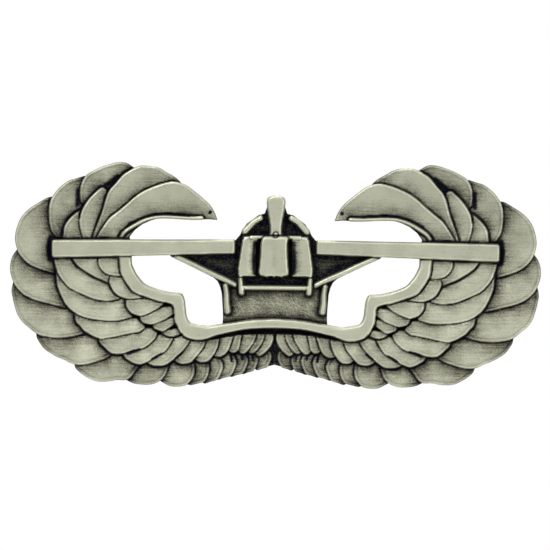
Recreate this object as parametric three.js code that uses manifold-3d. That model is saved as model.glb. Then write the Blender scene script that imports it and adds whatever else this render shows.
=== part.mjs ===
// A winged glider badge, worn upright on cloth and held by two clutches.
// Millimetres, +Z up. The face looks along -Y, the cloth lies on the flat back at y = 0,
// and the origin is the middle of that back. The left wing has negative X.
import * as THREE from "three";
import { mergeVertices } from "three/addons/utils/BufferGeometryUtils.js";
import Module from "manifold-3d";

const wasm = await Module();
wasm.setup();

// ---- driving dimensions ----
const POST_X = 24.0; // each post stands behind the widest part of a wing
const POST_Z = -1.6;
const POST_RADIUS = 0.525;
const POST_LENGTH = 8.0; // from the badge's back to the point
const CLUTCH_GAP = 3.7; // from the badge's back to the clutch's base disc
const SEAT_GAP = 0.03; // between pieces that are soldered, staked or crimped together
const ROUND_STEPS = 28;

// ---- relief heights above the back ----
const GROUND = 0.9; // the dark sunk ground round the glider
const FIELD = 1.15; // the sunk field under the glider's nose
const OUTER_FEATHERS = { low: 1.15, high: 1.75 };
const MIDDLE_FEATHERS = { low: 1.45, high: 2.05 };
const INNER_FEATHERS = { low: 1.75, high: 2.2 };
const PINION_FEATHERS = { low: 1.5, high: 2.25 };
const BAND = 2.35;
const MAINPLANE = 2.6;
const HULL_SIDE = 2.45;
const HULL_NOSE = 2.7;
const STRUT = 2.05;

// ---- the left wing's feathers ----
// edge: the free edge, from where it comes out from under the feather above it, round its tip.
// root: the points that close it, hidden under its neighbours.
const OUTER_ROW = [
  {
    edge: [[-16.9, 12.9], [-18.0, 13.35], [-19.2, 13.4], [-20.6, 13.05], [-22.0, 12.3],
      [-23.1, 10.9], [-23.5, 9.4], [-23.4, 8.4]],
    root: [[-22.4, 9.6], [-21.3, 10.45], [-19.6, 11.4], [-17.6, 12.0]],
  },
  {
    edge: [[-23.3, 11.4], [-24.4, 11.45], [-25.5, 10.7], [-26.5, 9.5], [-27.05, 8.1],
      [-27.15, 6.6], [-26.95, 5.3], [-26.4, 4.5]],
    root: [[-25.6, 4.0], [-23.6, 7.4], [-23.0, 10.5]],
  },
  {
    edge: [[-27.0, 9.1], [-28.0, 8.65], [-29.3, 7.8], [-30.4, 6.6], [-31.1, 5.3],
      [-31.15, 4.0], [-30.8, 2.5], [-30.0, 1.4], [-28.6, 0.6], [-26.5, 0.05]],
    root: [[-25.8, 4.0], [-26.6, 7.5]],
  },
  {
    edge: [[-31.0, 2.9], [-31.5, 1.9], [-31.7, 0.6], [-31.6, -0.5], [-31.1, -1.5],
      [-29.9, -2.6], [-28.4, -3.2], [-25.6, -4.0]],
    root: [[-25.8, 1.0]],
  },
  {
    edge: [[-31.45, -1.0], [-31.55, -2.2], [-31.2, -4.0], [-30.7, -5.1], [-29.8, -6.1],
      [-28.9, -6.9], [-27.6, -7.45], [-25.6, -7.7], [-23.0, -7.2]],
    root: [[-24.0, -3.3]],
  },
  {
    edge: [[-28.8, -7.0], [-28.2, -8.2], [-27.3, -9.3], [-26.2, -10.0], [-24.9, -10.45],
      [-24.0, -10.85], [-22.6, -10.9], [-21.0, -10.5], [-19.6, -9.8]],
    root: [[-21.5, -6.8]],
  },
  {
    edge: [[-24.1, -10.85], [-23.2, -11.8], [-21.8, -12.65], [-20.3, -12.95], [-19.0, -12.75],
      [-17.8, -12.65], [-16.8, -11.9], [-15.8, -10.8]],
    root: [[-18.0, -9.2]],
  },
  {
    edge: [[-17.9, -12.65], [-16.8, -13.1], [-15.3, -13.15], [-14.0, -12.9], [-13.1, -12.1],
      [-12.5, -11.0]],
    root: [[-15.3, -10.0]],
  },
  {
    edge: [[-13.8, -12.8], [-12.8, -13.2], [-11.8, -13.4], [-10.5, -13.15], [-9.8, -12.3],
      [-9.6, -10.8]],
    root: [[-12.0, -10.0]],
  },
  {
    edge: [[-10.5, -13.15], [-9.4, -13.05], [-8.4, -12.75], [-7.9, -11.9], [-7.85, -10.6]],
    root: [[-9.4, -9.9]],
  },
];
const MIDDLE_ROW = [
  {
    edge: [[-20.6, 10.35], [-21.5, 9.9], [-22.5, 8.9], [-23.2, 7.6], [-23.45, 6.3],
      [-23.3, 5.0], [-22.9, 4.35]],
    root: [[-22.4, 3.6], [-21.6, 6.6], [-20.9, 9.0]],
  },
  {
    edge: [[-23.3, 7.65], [-24.1, 7.35], [-25.0, 6.4], [-25.35, 5.4], [-25.5, 4.0]],
    root: [[-25.0, 3.4], [-23.2, 3.4], [-23.2, 6.0]],
  },
  {
    edge: [[-26.4, 1.9], [-26.1, 0.3], [-25.3, -1.0], [-24.1, -2.0], [-22.4, -2.85],
      [-20.7, -3.3], [-19.0, -3.1]],
    root: [[-19.2, -0.6], [-22.5, 2.6], [-25.5, 2.6]],
  },
  {
    edge: [[-26.3, 0.3], [-26.1, -1.2], [-25.7, -2.7], [-24.9, -4.0], [-23.5, -5.0],
      [-21.8, -5.5], [-19.6, -5.65], [-17.3, -5.2]],
    root: [[-18.0, -2.6], [-22.0, -1.5]],
  },
  {
    edge: [[-24.0, -5.2], [-23.3, -6.4], [-22.3, -7.2], [-20.6, -7.7], [-18.6, -7.4],
      [-16.4, -6.95], [-15.6, -6.4]],
    root: [[-16.8, -4.7], [-20.0, -4.6]],
  },
  {
    edge: [[-21.4, -7.6], [-20.8, -8.6], [-19.8, -9.3], [-18.7, -9.6], [-17.4, -9.4],
      [-15.8, -8.8], [-14.8, -8.1], [-14.1, -7.4]],
    root: [[-15.6, -6.2], [-19.0, -7.0]],
  },
  {
    edge: [[-18.5, -9.5], [-17.6, -10.3], [-16.4, -10.8], [-15.3, -10.5], [-14.4, -9.85],
      [-13.1, -9.25], [-12.3, -8.2]],
    root: [[-13.0, -6.8], [-16.5, -8.3]],
  },
  {
    edge: [[-15.6, -10.5], [-14.5, -10.95], [-13.2, -10.85], [-12.1, -10.2], [-10.9, -9.1],
      [-10.1, -7.9]],
    root: [[-11.6, -7.0], [-14.0, -9.0]],
  },
  {
    edge: [[-12.4, -10.3], [-11.2, -10.65], [-10.2, -10.4], [-9.2, -9.4], [-8.2, -7.9]],
    root: [[-9.8, -7.2], [-11.4, -9.0]],
  },
  {
    edge: [[-9.8, -10.1], [-8.8, -10.5], [-7.9, -10.3], [-7.2, -9.3], [-6.6, -7.5]],
    root: [[-8.0, -7.0], [-9.0, -8.9]],
  },
  {
    edge: [[-7.5, -9.8], [-6.6, -9.8], [-5.8, -9.3], [-5.3, -8.3], [-5.0, -7.2]],
    root: [[-6.4, -6.7], [-7.0, -8.4]],
  },
];
const INNER_ROW = [
  {
    edge: [[-24.5, 1.9], [-23.9, 1.0], [-23.0, 0.2], [-21.7, -0.5], [-20.0, -1.0]],
    root: [[-19.4, 0.2], [-21.0, 2.6], [-24.0, 2.6]],
  },
  {
    edge: [[-21.3, 2.0], [-21.1, 1.0], [-20.5, 0.15], [-19.6, -0.15], [-18.2, -0.3]],
    root: [[-18.0, 2.6], [-20.8, 2.6]],
  },
  {
    edge: [[-19.7, -0.3], [-19.8, -1.3], [-19.3, -2.3], [-18.4, -2.9], [-17.2, -3.05],
      [-15.8, -2.9]],
    root: [[-16.8, -1.8], [-18.3, -0.2]],
  },
  {
    edge: [[-17.9, -3.1], [-17.7, -4.0], [-17.0, -4.75], [-16.0, -4.95], [-14.8, -4.6],
      [-13.6, -3.8]],
    root: [[-13.8, -3.0], [-16.0, -2.6]],
  },
  {
    edge: [[-16.2, -5.1], [-15.7, -5.8], [-14.6, -6.0], [-13.2, -5.5], [-11.9, -4.8]],
    root: [[-12.0, -3.4], [-14.3, -4.0]],
  },
  {
    edge: [[-14.7, -6.1], [-14.1, -6.65], [-13.2, -6.7], [-12.2, -6.1], [-11.7, -5.7]],
    root: [[-11.7, -4.9], [-13.2, -5.2]],
  },
  {
    edge: [[-13.7, -6.8], [-13.0, -7.3], [-12.1, -7.45], [-11.0, -7.0]],
    root: [[-11.2, -6.2], [-12.6, -6.4]],
  },
];
// The two long pinions whose tips curl in over the glider.
const PINIONS = [
  {
    edge: [[-13.0, 12.1], [-14.2, 12.85], [-15.5, 13.05], [-16.8, 12.85], [-18.2, 12.1],
      [-19.5, 10.8], [-20.4, 8.9], [-21.2, 6.8], [-22.1, 4.0]],
    root: [[-20.8, 3.4], [-17.0, 8.6], [-12.4, 10.4], [-12.0, 11.5]],
  },
  {
    edge: [[-7.1, 6.6], [-7.6, 7.7], [-8.9, 9.1], [-10.6, 10.6], [-12.3, 11.2], [-14.2, 10.7],
      [-16.6, 9.5], [-18.9, 7.5], [-20.4, 5.9], [-21.1, 4.0]],
    root: [[-17.2, 3.4], [-17.6, 4.9], [-16.0, 6.0], [-14.3, 6.7], [-11.7, 6.65], [-9.0, 6.6]],
  },
];

// The left wing's solid ground under its feathers, from the pinion's tip round to the middle.
const WING_GROUND = [
  [-8.5, 8.2], [-12.0, 10.6], [-15.5, 12.3], [-18.5, 12.6], [-21.5, 11.6], [-23.0, 9.5],
  [-26.0, 9.0], [-28.8, 7.4], [-30.4, 5.0], [-30.2, 2.2], [-31.0, 0.0], [-30.8, -3.0],
  [-29.0, -6.0], [-27.3, -8.3], [-24.0, -10.1], [-21.5, -12.1], [-18.0, -12.0],
  [-14.0, -12.4], [-10.0, -12.3], [-5.0, -11.3], [0, -10.4], [0, -5.9], [-6.0, -6.6],
  [-9.0, -7.4], [-10.8, -6.9], [-11.6, -5.6], [-11.7, -3.9], [-13.0, -3.0], [-16.0, -2.1],
  [-17.4, -0.9], [-17.9, 0.8], [-18.0, 4.4], [-16.8, 6.0], [-14.5, 7.0], [-9.0, 7.0],
];

// The raised band between the feathers and the windows, as [x, z] along its middle.
const BAND_PATH = [
  [-18.1, 2.8], [-18.0, 1.2], [-17.5, -0.5], [-16.5, -1.7], [-14.9, -2.3], [-12.7, -2.8],
  [-11.6, -3.4], [-11.35, -4.6], [-11.0, -5.9], [-10.1, -6.75], [-8.6, -6.95], [-6.2, -6.45],
  [-3.4, -5.9], [0, -5.68],
];
const BAND_HALF_WIDTH = { outside: 0.76, middle: 0.56 };
const BAND_TAPER_END = 10; // the band narrows from this far out to the middle

// ---- helpers ----
// A three.js geometry as a manifold-3d solid.
function solidFrom(geometry) {
  geometry.deleteAttribute("normal");
  geometry.deleteAttribute("uv");
  const merged = mergeVertices(geometry, 1e-4);
  return new wasm.Manifold(
    new wasm.Mesh({
      numProp: 3,
      vertProperties: merged.getAttribute("position").array,
      triVerts: new Uint32Array(merged.index.array),
    }),
  );
}

// A manifold-3d solid as a three.js geometry.
function geometryFrom(solid) {
  const { vertProperties, triVerts } = solid.getMesh();
  const geometry = new THREE.BufferGeometry();
  geometry.setAttribute("position", new THREE.BufferAttribute(vertProperties, 3));
  geometry.setIndex(new THREE.BufferAttribute(triVerts, 1));
  geometry.computeVertexNormals();
  return geometry;
}

// A smooth run of points through the given ones.
function smooth(points, stepsPerSpan = 1) {
  const curve = new THREE.SplineCurve(points.map(([x, z]) => new THREE.Vector2(x, z)));
  return curve.getPoints((points.length - 1) * stepsPerSpan);
}

const mirrored = (points) => points.map(([x, z]) => [-x, z]);

// A prism on the badge's back. top gives the height at (x, z), and is flat or a tilted plane.
function prism(outline, top) {
  const shape = new THREE.Shape(outline);
  const geometry = new THREE.ExtrudeGeometry(shape, { depth: 1, bevelEnabled: false });
  const position = geometry.getAttribute("position");
  for (let i = 0; i < position.count; i++) {
    if (position.getZ(i) > 0.5) position.setZ(i, top(position.getX(i), position.getY(i)));
  }
  geometry.rotateX(Math.PI / 2);
  return solidFrom(geometry);
}

const middleOf = (points) =>
  points.reduce((sum, p) => sum.add(p), new THREE.Vector2()).divideScalar(points.length);

// One feather: a flat slope, highest at its free edge and lowest at its root.
function feather({ edge, root }, { low, high }) {
  const free = smooth(edge);
  const hidden = root.map(([x, z]) => new THREE.Vector2(x, z));
  const outline = [...free, ...hidden];
  const downhill = middleOf(hidden).sub(middleOf(free)).normalize();
  const distances = outline.map((p) => p.dot(downhill));
  const start = Math.min(...distances);
  const slope = (high - low) / (Math.max(...distances) - start);
  return prism(outline, (x, z) => high - slope * (x * downhill.x + z * downhill.y - start));
}

// A flat-topped bar from a to b with a width that may taper.
function bar(a, b, widthA, widthB, height) {
  const start = new THREE.Vector2(...a);
  const end = new THREE.Vector2(...b);
  const side = end.clone().sub(start).normalize().rotateAround(new THREE.Vector2(), Math.PI / 2);
  const corner = (p, offset) => p.clone().addScaledVector(side, offset);
  return prism(
    [corner(start, -widthA / 2), corner(end, -widthB / 2), corner(end, widthB / 2),
      corner(start, widthA / 2)],
    () => height,
  );
}

const flat = (points, height) =>
  prism(points.map(([x, z]) => new THREE.Vector2(x, z)), () => height);

// ---- the badge plate ----
// The last small feathers of a row, between the band and the badge's middle.
function smallFeathers(count, edgeOf, rootOf) {
  return Array.from({ length: count }, (_, k) => ({ edge: edgeOf(k), root: rootOf(k) }));
}

const OUTER_STEP = { x: 1.48, z: 0.36, rootZ: 0.2 };
const lastOuter = smallFeathers(
  5,
  (k) => {
    const x = -6.75 + OUTER_STEP.x * k;
    const z = -12.4 + OUTER_STEP.z * k;
    return [[x - 1.7, z - 0.35], [x, z], [x + 0.5, z + 0.8], [x + 0.55, z + 1.6],
      [x + 0.35, z + 2.2]];
  },
  (k) => [[-8.0 + OUTER_STEP.x * k, -9.6 + OUTER_STEP.rootZ * k]],
);
const MIDDLE_STEP = { x: 0.98, tipZ: -0.06 };
const lastMiddle = smallFeathers(
  4,
  (k) => {
    const x = -4.3 + MIDDLE_STEP.x * k;
    const drop = MIDDLE_STEP.tipZ * k;
    return [[x - 1.1, -9.0 + drop], [x - 0.4, -9.25 + drop], [x + 0.25, -8.7], [x + 0.7, -7.8],
      [x + 0.9, -6.7]];
  },
  (k) => [[-4.6 + MIDDLE_STEP.x * k, -6.5], [-5.0 + MIDDLE_STEP.x * k, -8.2]],
);

function bandOutline() {
  const half = smooth(BAND_PATH, 2);
  const path = [...half, ...half.slice(0, -1).reverse().map((p) => new THREE.Vector2(-p.x, p.y))];
  const edge = (side) =>
    path.map((p, i) => {
      const before = path[Math.max(i - 1, 0)];
      const after = path[Math.min(i + 1, path.length - 1)];
      const across = after.clone().sub(before).normalize();
      const share = Math.min(Math.abs(p.x) / BAND_TAPER_END, 1);
      const width = THREE.MathUtils.lerp(BAND_HALF_WIDTH.middle, BAND_HALF_WIDTH.outside, share);
      return new THREE.Vector2(p.x - across.y * width * side, p.y + across.x * width * side);
    });
  return [...edge(1), ...edge(-1).reverse()];
}

// One half of the wings and of the glider; flip turns the left half's points into the right's.
function halfOfBadge(flip) {
  const feathersOf = (row, heights) =>
    row.map(({ edge, root }) => feather({ edge: flip(edge), root: flip(root) }, heights));
  const [strutTop, strutFoot, wheelTop, wheelFoot, tailTop, tailFoot] = flip([
    [-12.2, 2.5], [-4.75, -1.05], [-5.8, -1.3], [-5.7, -4.2], [-1.7, 6.9], [-3.8, 5.3],
  ]);
  const [skidTop, skidFoot] = flip([[-4.12, 0.4], [-4.08, -2.4]]);
  return [
    ...feathersOf([...OUTER_ROW, ...lastOuter], OUTER_FEATHERS),
    ...feathersOf([...MIDDLE_ROW, ...lastMiddle], MIDDLE_FEATHERS),
    ...feathersOf(INNER_ROW, INNER_FEATHERS),
    ...feathersOf(PINIONS, PINION_FEATHERS),
    flat(flip([[-26.9, 3.98], [-26.9, 1.9], [-4.75, 2.68], [-4.75, 4.15]]), MAINPLANE),
    flat(flip([[-4.15, 3.6], [-4.45, 1.4], [-4.4, -0.2], [-2.5, -0.2], [-2.4, 4.5],
      [-3.7, 4.75]]), HULL_SIDE),
    bar(strutTop, strutFoot, 0.66, 0.66, STRUT),
    bar(wheelTop, wheelFoot, 0.62, 0.62, STRUT),
    bar(tailTop, tailFoot, 0.7, 0.8, STRUT),
    bar(skidTop, skidFoot, 0.56, 0.7, HULL_SIDE),
    flat(flip(WING_GROUND), GROUND),
    // sunk ground: beside the hull under the mainplane, beside the wheel, and above the roof
    flat(flip([[-13.2, 2.6], [-4.4, 2.9], [-4.4, -1.4], [-6.7, -0.6], [-8.3, 0.12]]), GROUND),
    flat(flip([[-6.9, -0.5], [-6.4, -1.6], [-6.25, -6.0], [-4, -5.8], [-4, -0.5]]), GROUND),
    flat(flip([[-4.9, 3.9], [-4.2, 5.1], [-3.6, 5.95], [-1.8, 7.35], [-1.4, 7.2], [-1.1, 8.2],
      [-0.5, 8.2], [-0.5, 3.9]]), GROUND),
  ];
}

function badgePlate() {
  const finOutline = smooth([
    [-0.65, 5.2], [-0.85, 6.6], [-1.08, 7.9], [-1.08, 8.9], [-0.6, 9.55], [0.6, 9.55],
    [1.08, 8.9], [1.08, 7.9], [0.85, 6.6], [0.65, 5.2],
  ], 2);
  const solids = [
    ...halfOfBadge((points) => points),
    ...halfOfBadge(mirrored),
    prism(bandOutline(), () => BAND),
    prism(finOutline, () => HULL_SIDE),
    flat([[-0.65, 4.6], [0.65, 4.6], [0.65, 5.4], [-0.65, 5.4]], STRUT),
    flat([[-1.75, 0], [1.75, 0], [1.5, 4.6], [-1.5, 4.6]], HULL_NOSE),
    flat([[-4.6, -0.3], [4.6, -0.3], [4.6, 4.5], [-4.6, 4.5]], GROUND),
    bar([-4, -1.5], [4, -1.5], 0.6, 0.6, HULL_SIDE),
    flat([[-6.1, -6.0], [6.1, -6.0], [5.2, -0.2], [-5.2, -0.2]], FIELD),
  ];
  return geometryFrom(wasm.Manifold.union(solids));
}

// ---- the fittings on the back, each about an axis along +Y at x = 0, z = 0 ----
// A solid of revolution about Y from [radius, y] points that close on themselves.
function turned(profile, steps = ROUND_STEPS) {
  const closed = [...profile, profile[0]].map(([r, y]) => new THREE.Vector2(r, y));
  return new THREE.LatheGeometry(closed, steps);
}

// The nail: a flat head against the badge, a plain shank, a neck for the jaws and a point.
function postGeometry() {
  const head = 1.1;
  const neck = 0.42;
  const jawY = CLUTCH_GAP + JAW_Y;
  return turned([
    [0, SEAT_GAP], [head, SEAT_GAP], [head, 0.25], [POST_RADIUS, 0.28],
    [POST_RADIUS, jawY - 0.35], [neck, jawY - 0.25], [neck, jawY + 0.25],
    [POST_RADIUS, jawY + 0.35], [POST_RADIUS, POST_LENGTH - 1.3], [0.1, POST_LENGTH - 0.05],
    [0, POST_LENGTH],
  ]);
}

// The stamped pad that holds the nail's head down and is soldered to the badge.
const PAD_RADIUS = 2.4;
function padGeometry() {
  const hole = POST_RADIUS + SEAT_GAP;
  return turned([
    [1.13, SEAT_GAP], [PAD_RADIUS, SEAT_GAP], [PAD_RADIUS, 0.3], [1.75, 0.34], [1.4, 0.6],
    [hole, 0.62], [hole, 0.31], [1.13, 0.31],
  ]);
}

function solderGeometry() {
  const inner = PAD_RADIUS + SEAT_GAP;
  return turned([
    [inner, SEAT_GAP], [inner + 0.5, SEAT_GAP], [inner + 0.22, 0.12], [inner, 0.33],
  ]);
}

const DISC_RADIUS = 5.3;
const DISC_THICKNESS = 0.4;
const CLUTCH_RADIUS = 5.75;
const SHEET = 0.35; // the cover's sheet metal
const JAW_Y = 1.15; // above the base disc's front face

// The base disc with its hole for the post.
function discGeometry() {
  return turned([
    [0.75, 0], [DISC_RADIUS, 0], [DISC_RADIUS, DISC_THICKNESS], [1.2, DISC_THICKNESS],
    [1.0, DISC_THICKNESS + 0.2], [0.75, DISC_THICKNESS + 0.2],
  ]);
}

// The drawn cover: a rim rolled round the disc, a flat flange, and a dome with two windows.
const WINDOW = { y: 3.3, height: 2.05, width: 3.5, strap: 3.1 };
const DOME_OUTSIDE = [[3.15, 0.9], [2.95, 2.2], [2.75, 3.2], [2.2, 4.2], [1.3, 4.8], [0, 4.95]];
function coverGeometry() {
  const flange = DISC_THICKNESS + SEAT_GAP;
  const domeInside = DOME_OUTSIDE.map(([r, y]) => [Math.max(r - SHEET, 0), y - 0.3]).reverse();
  const cover = solidFrom(turned([
    [4.75, -SEAT_GAP], [4.75, -0.38], [5.5, -0.38], [CLUTCH_RADIUS, -0.15], [CLUTCH_RADIUS, 0.6],
    [5.5, flange + SHEET], [3.3, flange + SHEET], ...DOME_OUTSIDE, ...domeInside,
    [2.8, flange], [DISC_RADIUS + SEAT_GAP, flange], [DISC_RADIUS + SEAT_GAP, -SEAT_GAP],
  ]));
  const windows = new THREE.BoxGeometry(2 * CLUTCH_RADIUS, WINDOW.height, WINDOW.width)
    .translate(0, WINDOW.y, 0);
  const strap = new THREE.BoxGeometry(WINDOW.strap, 2 * WINDOW.height, 2 * CLUTCH_RADIUS)
    .translate(0, WINDOW.y, 0);
  const cut = solidFrom(windows).subtract(solidFrom(strap));
  return geometryFrom(cover.subtract(cut));
}

// A strip of sheet bent along [x, y] points and drawn out to a width along Z.
function bentStrip(middle, thickness, width) {
  const line = smooth(middle, 2);
  const side = (sign) =>
    line.map((p, i) => {
      const before = line[Math.max(i - 1, 0)];
      const after = line[Math.min(i + 1, line.length - 1)];
      const along = after.clone().sub(before).normalize();
      return new THREE.Vector2(p.x - (sign * along.y * thickness) / 2,
        p.y + (sign * along.x * thickness) / 2);
    });
  const shape = new THREE.Shape([...side(1), ...side(-1).reverse()]);
  const geometry = new THREE.ExtrudeGeometry(shape, { depth: width, bevelEnabled: false });
  geometry.translate(0, 0, -width / 2);
  return solidFrom(geometry);
}

// One finger wing: a jaw that bears on the post, a riser, and a flared blade outside the window.
const WING_SHEET = 0.3;
const WING_WIDTH = { inside: 3.0, blade: 5.4 };
const BLADE_CORNER = { x: 4.3, radius: 1.2 };
function wingGeometry(side) {
  const strip = bentStrip(
    [[0.3, JAW_Y], [1.1, JAW_Y], [1.65, 1.5], [1.85, 2.3], [2.25, 3.05], [3.1, 3.6], [4.1, 4.3],
      [4.75, 5.3], [4.95, 5.9]],
    WING_SHEET,
    WING_WIDTH.blade,
  );
  const inside = WING_WIDTH.inside / 2;
  const blade = WING_WIDTH.blade / 2;
  const plan = new THREE.Shape();
  plan.moveTo(0, -inside);
  plan.lineTo(2.75, -inside);
  plan.lineTo(3.3, -blade + 0.25);
  plan.lineTo(BLADE_CORNER.x, -blade);
  plan.absarc(BLADE_CORNER.x, -blade + BLADE_CORNER.radius, BLADE_CORNER.radius, -Math.PI / 2, 0);
  plan.absarc(BLADE_CORNER.x, blade - BLADE_CORNER.radius, BLADE_CORNER.radius, 0, Math.PI / 2);
  plan.lineTo(3.3, blade - 0.25);
  plan.lineTo(2.75, inside);
  plan.lineTo(0, inside);
  const depth = 8;
  const outline = new THREE.ExtrudeGeometry(plan, { depth, bevelEnabled: false, curveSegments: 5 });
  outline.rotateX(Math.PI / 2).translate(0, depth, 0);
  const notch = new THREE.CylinderGeometry(0.58, 0.58, 2, 16).translate(0, JAW_Y, 0);
  const geometry = geometryFrom(strip.intersect(solidFrom(outline)).subtract(solidFrom(notch)));
  return side > 0 ? geometry : geometry.rotateY(Math.PI);
}

// The leaf under the dome that spreads the two wings and so closes the jaws.
function springGeometry() {
  const strip = bentStrip(
    [[-1.55, 2.2], [-1.5, 3.0], [-1.1, 3.65], [0, 3.95], [1.1, 3.65], [1.5, 3.0], [1.55, 2.2]],
    0.2,
    2.2,
  );
  const hole = new THREE.CylinderGeometry(0.62, 0.62, 2, 16).translate(0, 4, 0);
  return geometryFrom(strip.subtract(solidFrom(hole)));
}

// ---- materials ----
const metal = (color, roughness, metalness = 1) =>
  new THREE.MeshStandardMaterial({ color, roughness, metalness });
const PEWTER = metal(0xb1b19f, 0.42);
const NICKEL = metal(0xc9c6bd, 0.28);
const SOLDER = metal(0x8f8f8c, 0.5);
const BRASS = metal(0xc8a24a, 0.3);
const SPRING_BRASS = metal(0xb98f3e, 0.34);

// ---- assembly ----
const badge = new THREE.Group();

function add(parent, name, geometry, material) {
  const mesh = new THREE.Mesh(geometry, material);
  mesh.name = name;
  parent.add(mesh);
}

add(badge, "badge_plate", badgePlate(), PEWTER);
for (const [side, x] of [["left", -POST_X], ["right", POST_X]]) {
  const post = new THREE.Group();
  post.position.set(x, 0, POST_Z);
  add(post, `${side}_post`, postGeometry(), NICKEL);
  add(post, `${side}_post_pad`, padGeometry(), NICKEL);
  add(post, `${side}_solder_fillet`, solderGeometry(), SOLDER);
  badge.add(post);
  const clutch = new THREE.Group();
  clutch.position.set(x, CLUTCH_GAP, POST_Z);
  add(clutch, `${side}_clutch_base_disc`, discGeometry(), BRASS);
  add(clutch, `${side}_clutch_cover`, coverGeometry(), BRASS);
  add(clutch, `${side}_clutch_spring`, springGeometry(), SPRING_BRASS);
  add(clutch, `${side}_clutch_inner_wing`, wingGeometry(x > 0 ? -1 : 1), SPRING_BRASS);
  add(clutch, `${side}_clutch_outer_wing`, wingGeometry(x > 0 ? 1 : -1), SPRING_BRASS);
  badge.add(clutch);
}

export default badge;
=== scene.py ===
"""A winged glider badge in antique silver, its two nails and its two sprung clutches.

The badge's face is a relief worked out on a fine grid: every feather, bar and band is an outline
in millimetres with a height of its own, and the higher ones cover the lower ones. Units in the
outlines are millimetres, x to the right and z up; everything that goes into the scene is metres.
"""

import logging
import math
from dataclasses import dataclass, field
from enum import Enum
from typing import Sequence

import bpy
import numpy as np
from mathutils import Matrix, Vector
from mathutils.geometry import delaunay_2d_cdt


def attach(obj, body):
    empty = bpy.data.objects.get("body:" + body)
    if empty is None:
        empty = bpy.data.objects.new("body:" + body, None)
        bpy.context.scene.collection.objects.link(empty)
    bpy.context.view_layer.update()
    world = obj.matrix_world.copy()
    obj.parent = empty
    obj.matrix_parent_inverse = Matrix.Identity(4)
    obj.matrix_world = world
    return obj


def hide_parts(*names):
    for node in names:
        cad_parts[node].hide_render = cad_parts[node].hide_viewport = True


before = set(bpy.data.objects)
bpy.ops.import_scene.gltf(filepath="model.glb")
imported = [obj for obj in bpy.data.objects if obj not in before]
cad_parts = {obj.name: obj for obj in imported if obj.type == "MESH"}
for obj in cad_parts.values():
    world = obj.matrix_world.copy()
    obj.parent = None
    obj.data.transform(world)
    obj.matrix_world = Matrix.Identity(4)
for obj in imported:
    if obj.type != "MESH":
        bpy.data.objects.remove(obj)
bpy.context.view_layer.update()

logging.basicConfig(level=logging.INFO, format="%(message)s")
log = logging.getLogger("badge")

MM = 0.001
Point = tuple[float, float]
Line = Sequence[Point]
Triple = tuple[float, float, float]
Colour = Triple
Socket = bpy.types.NodeSocket


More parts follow.
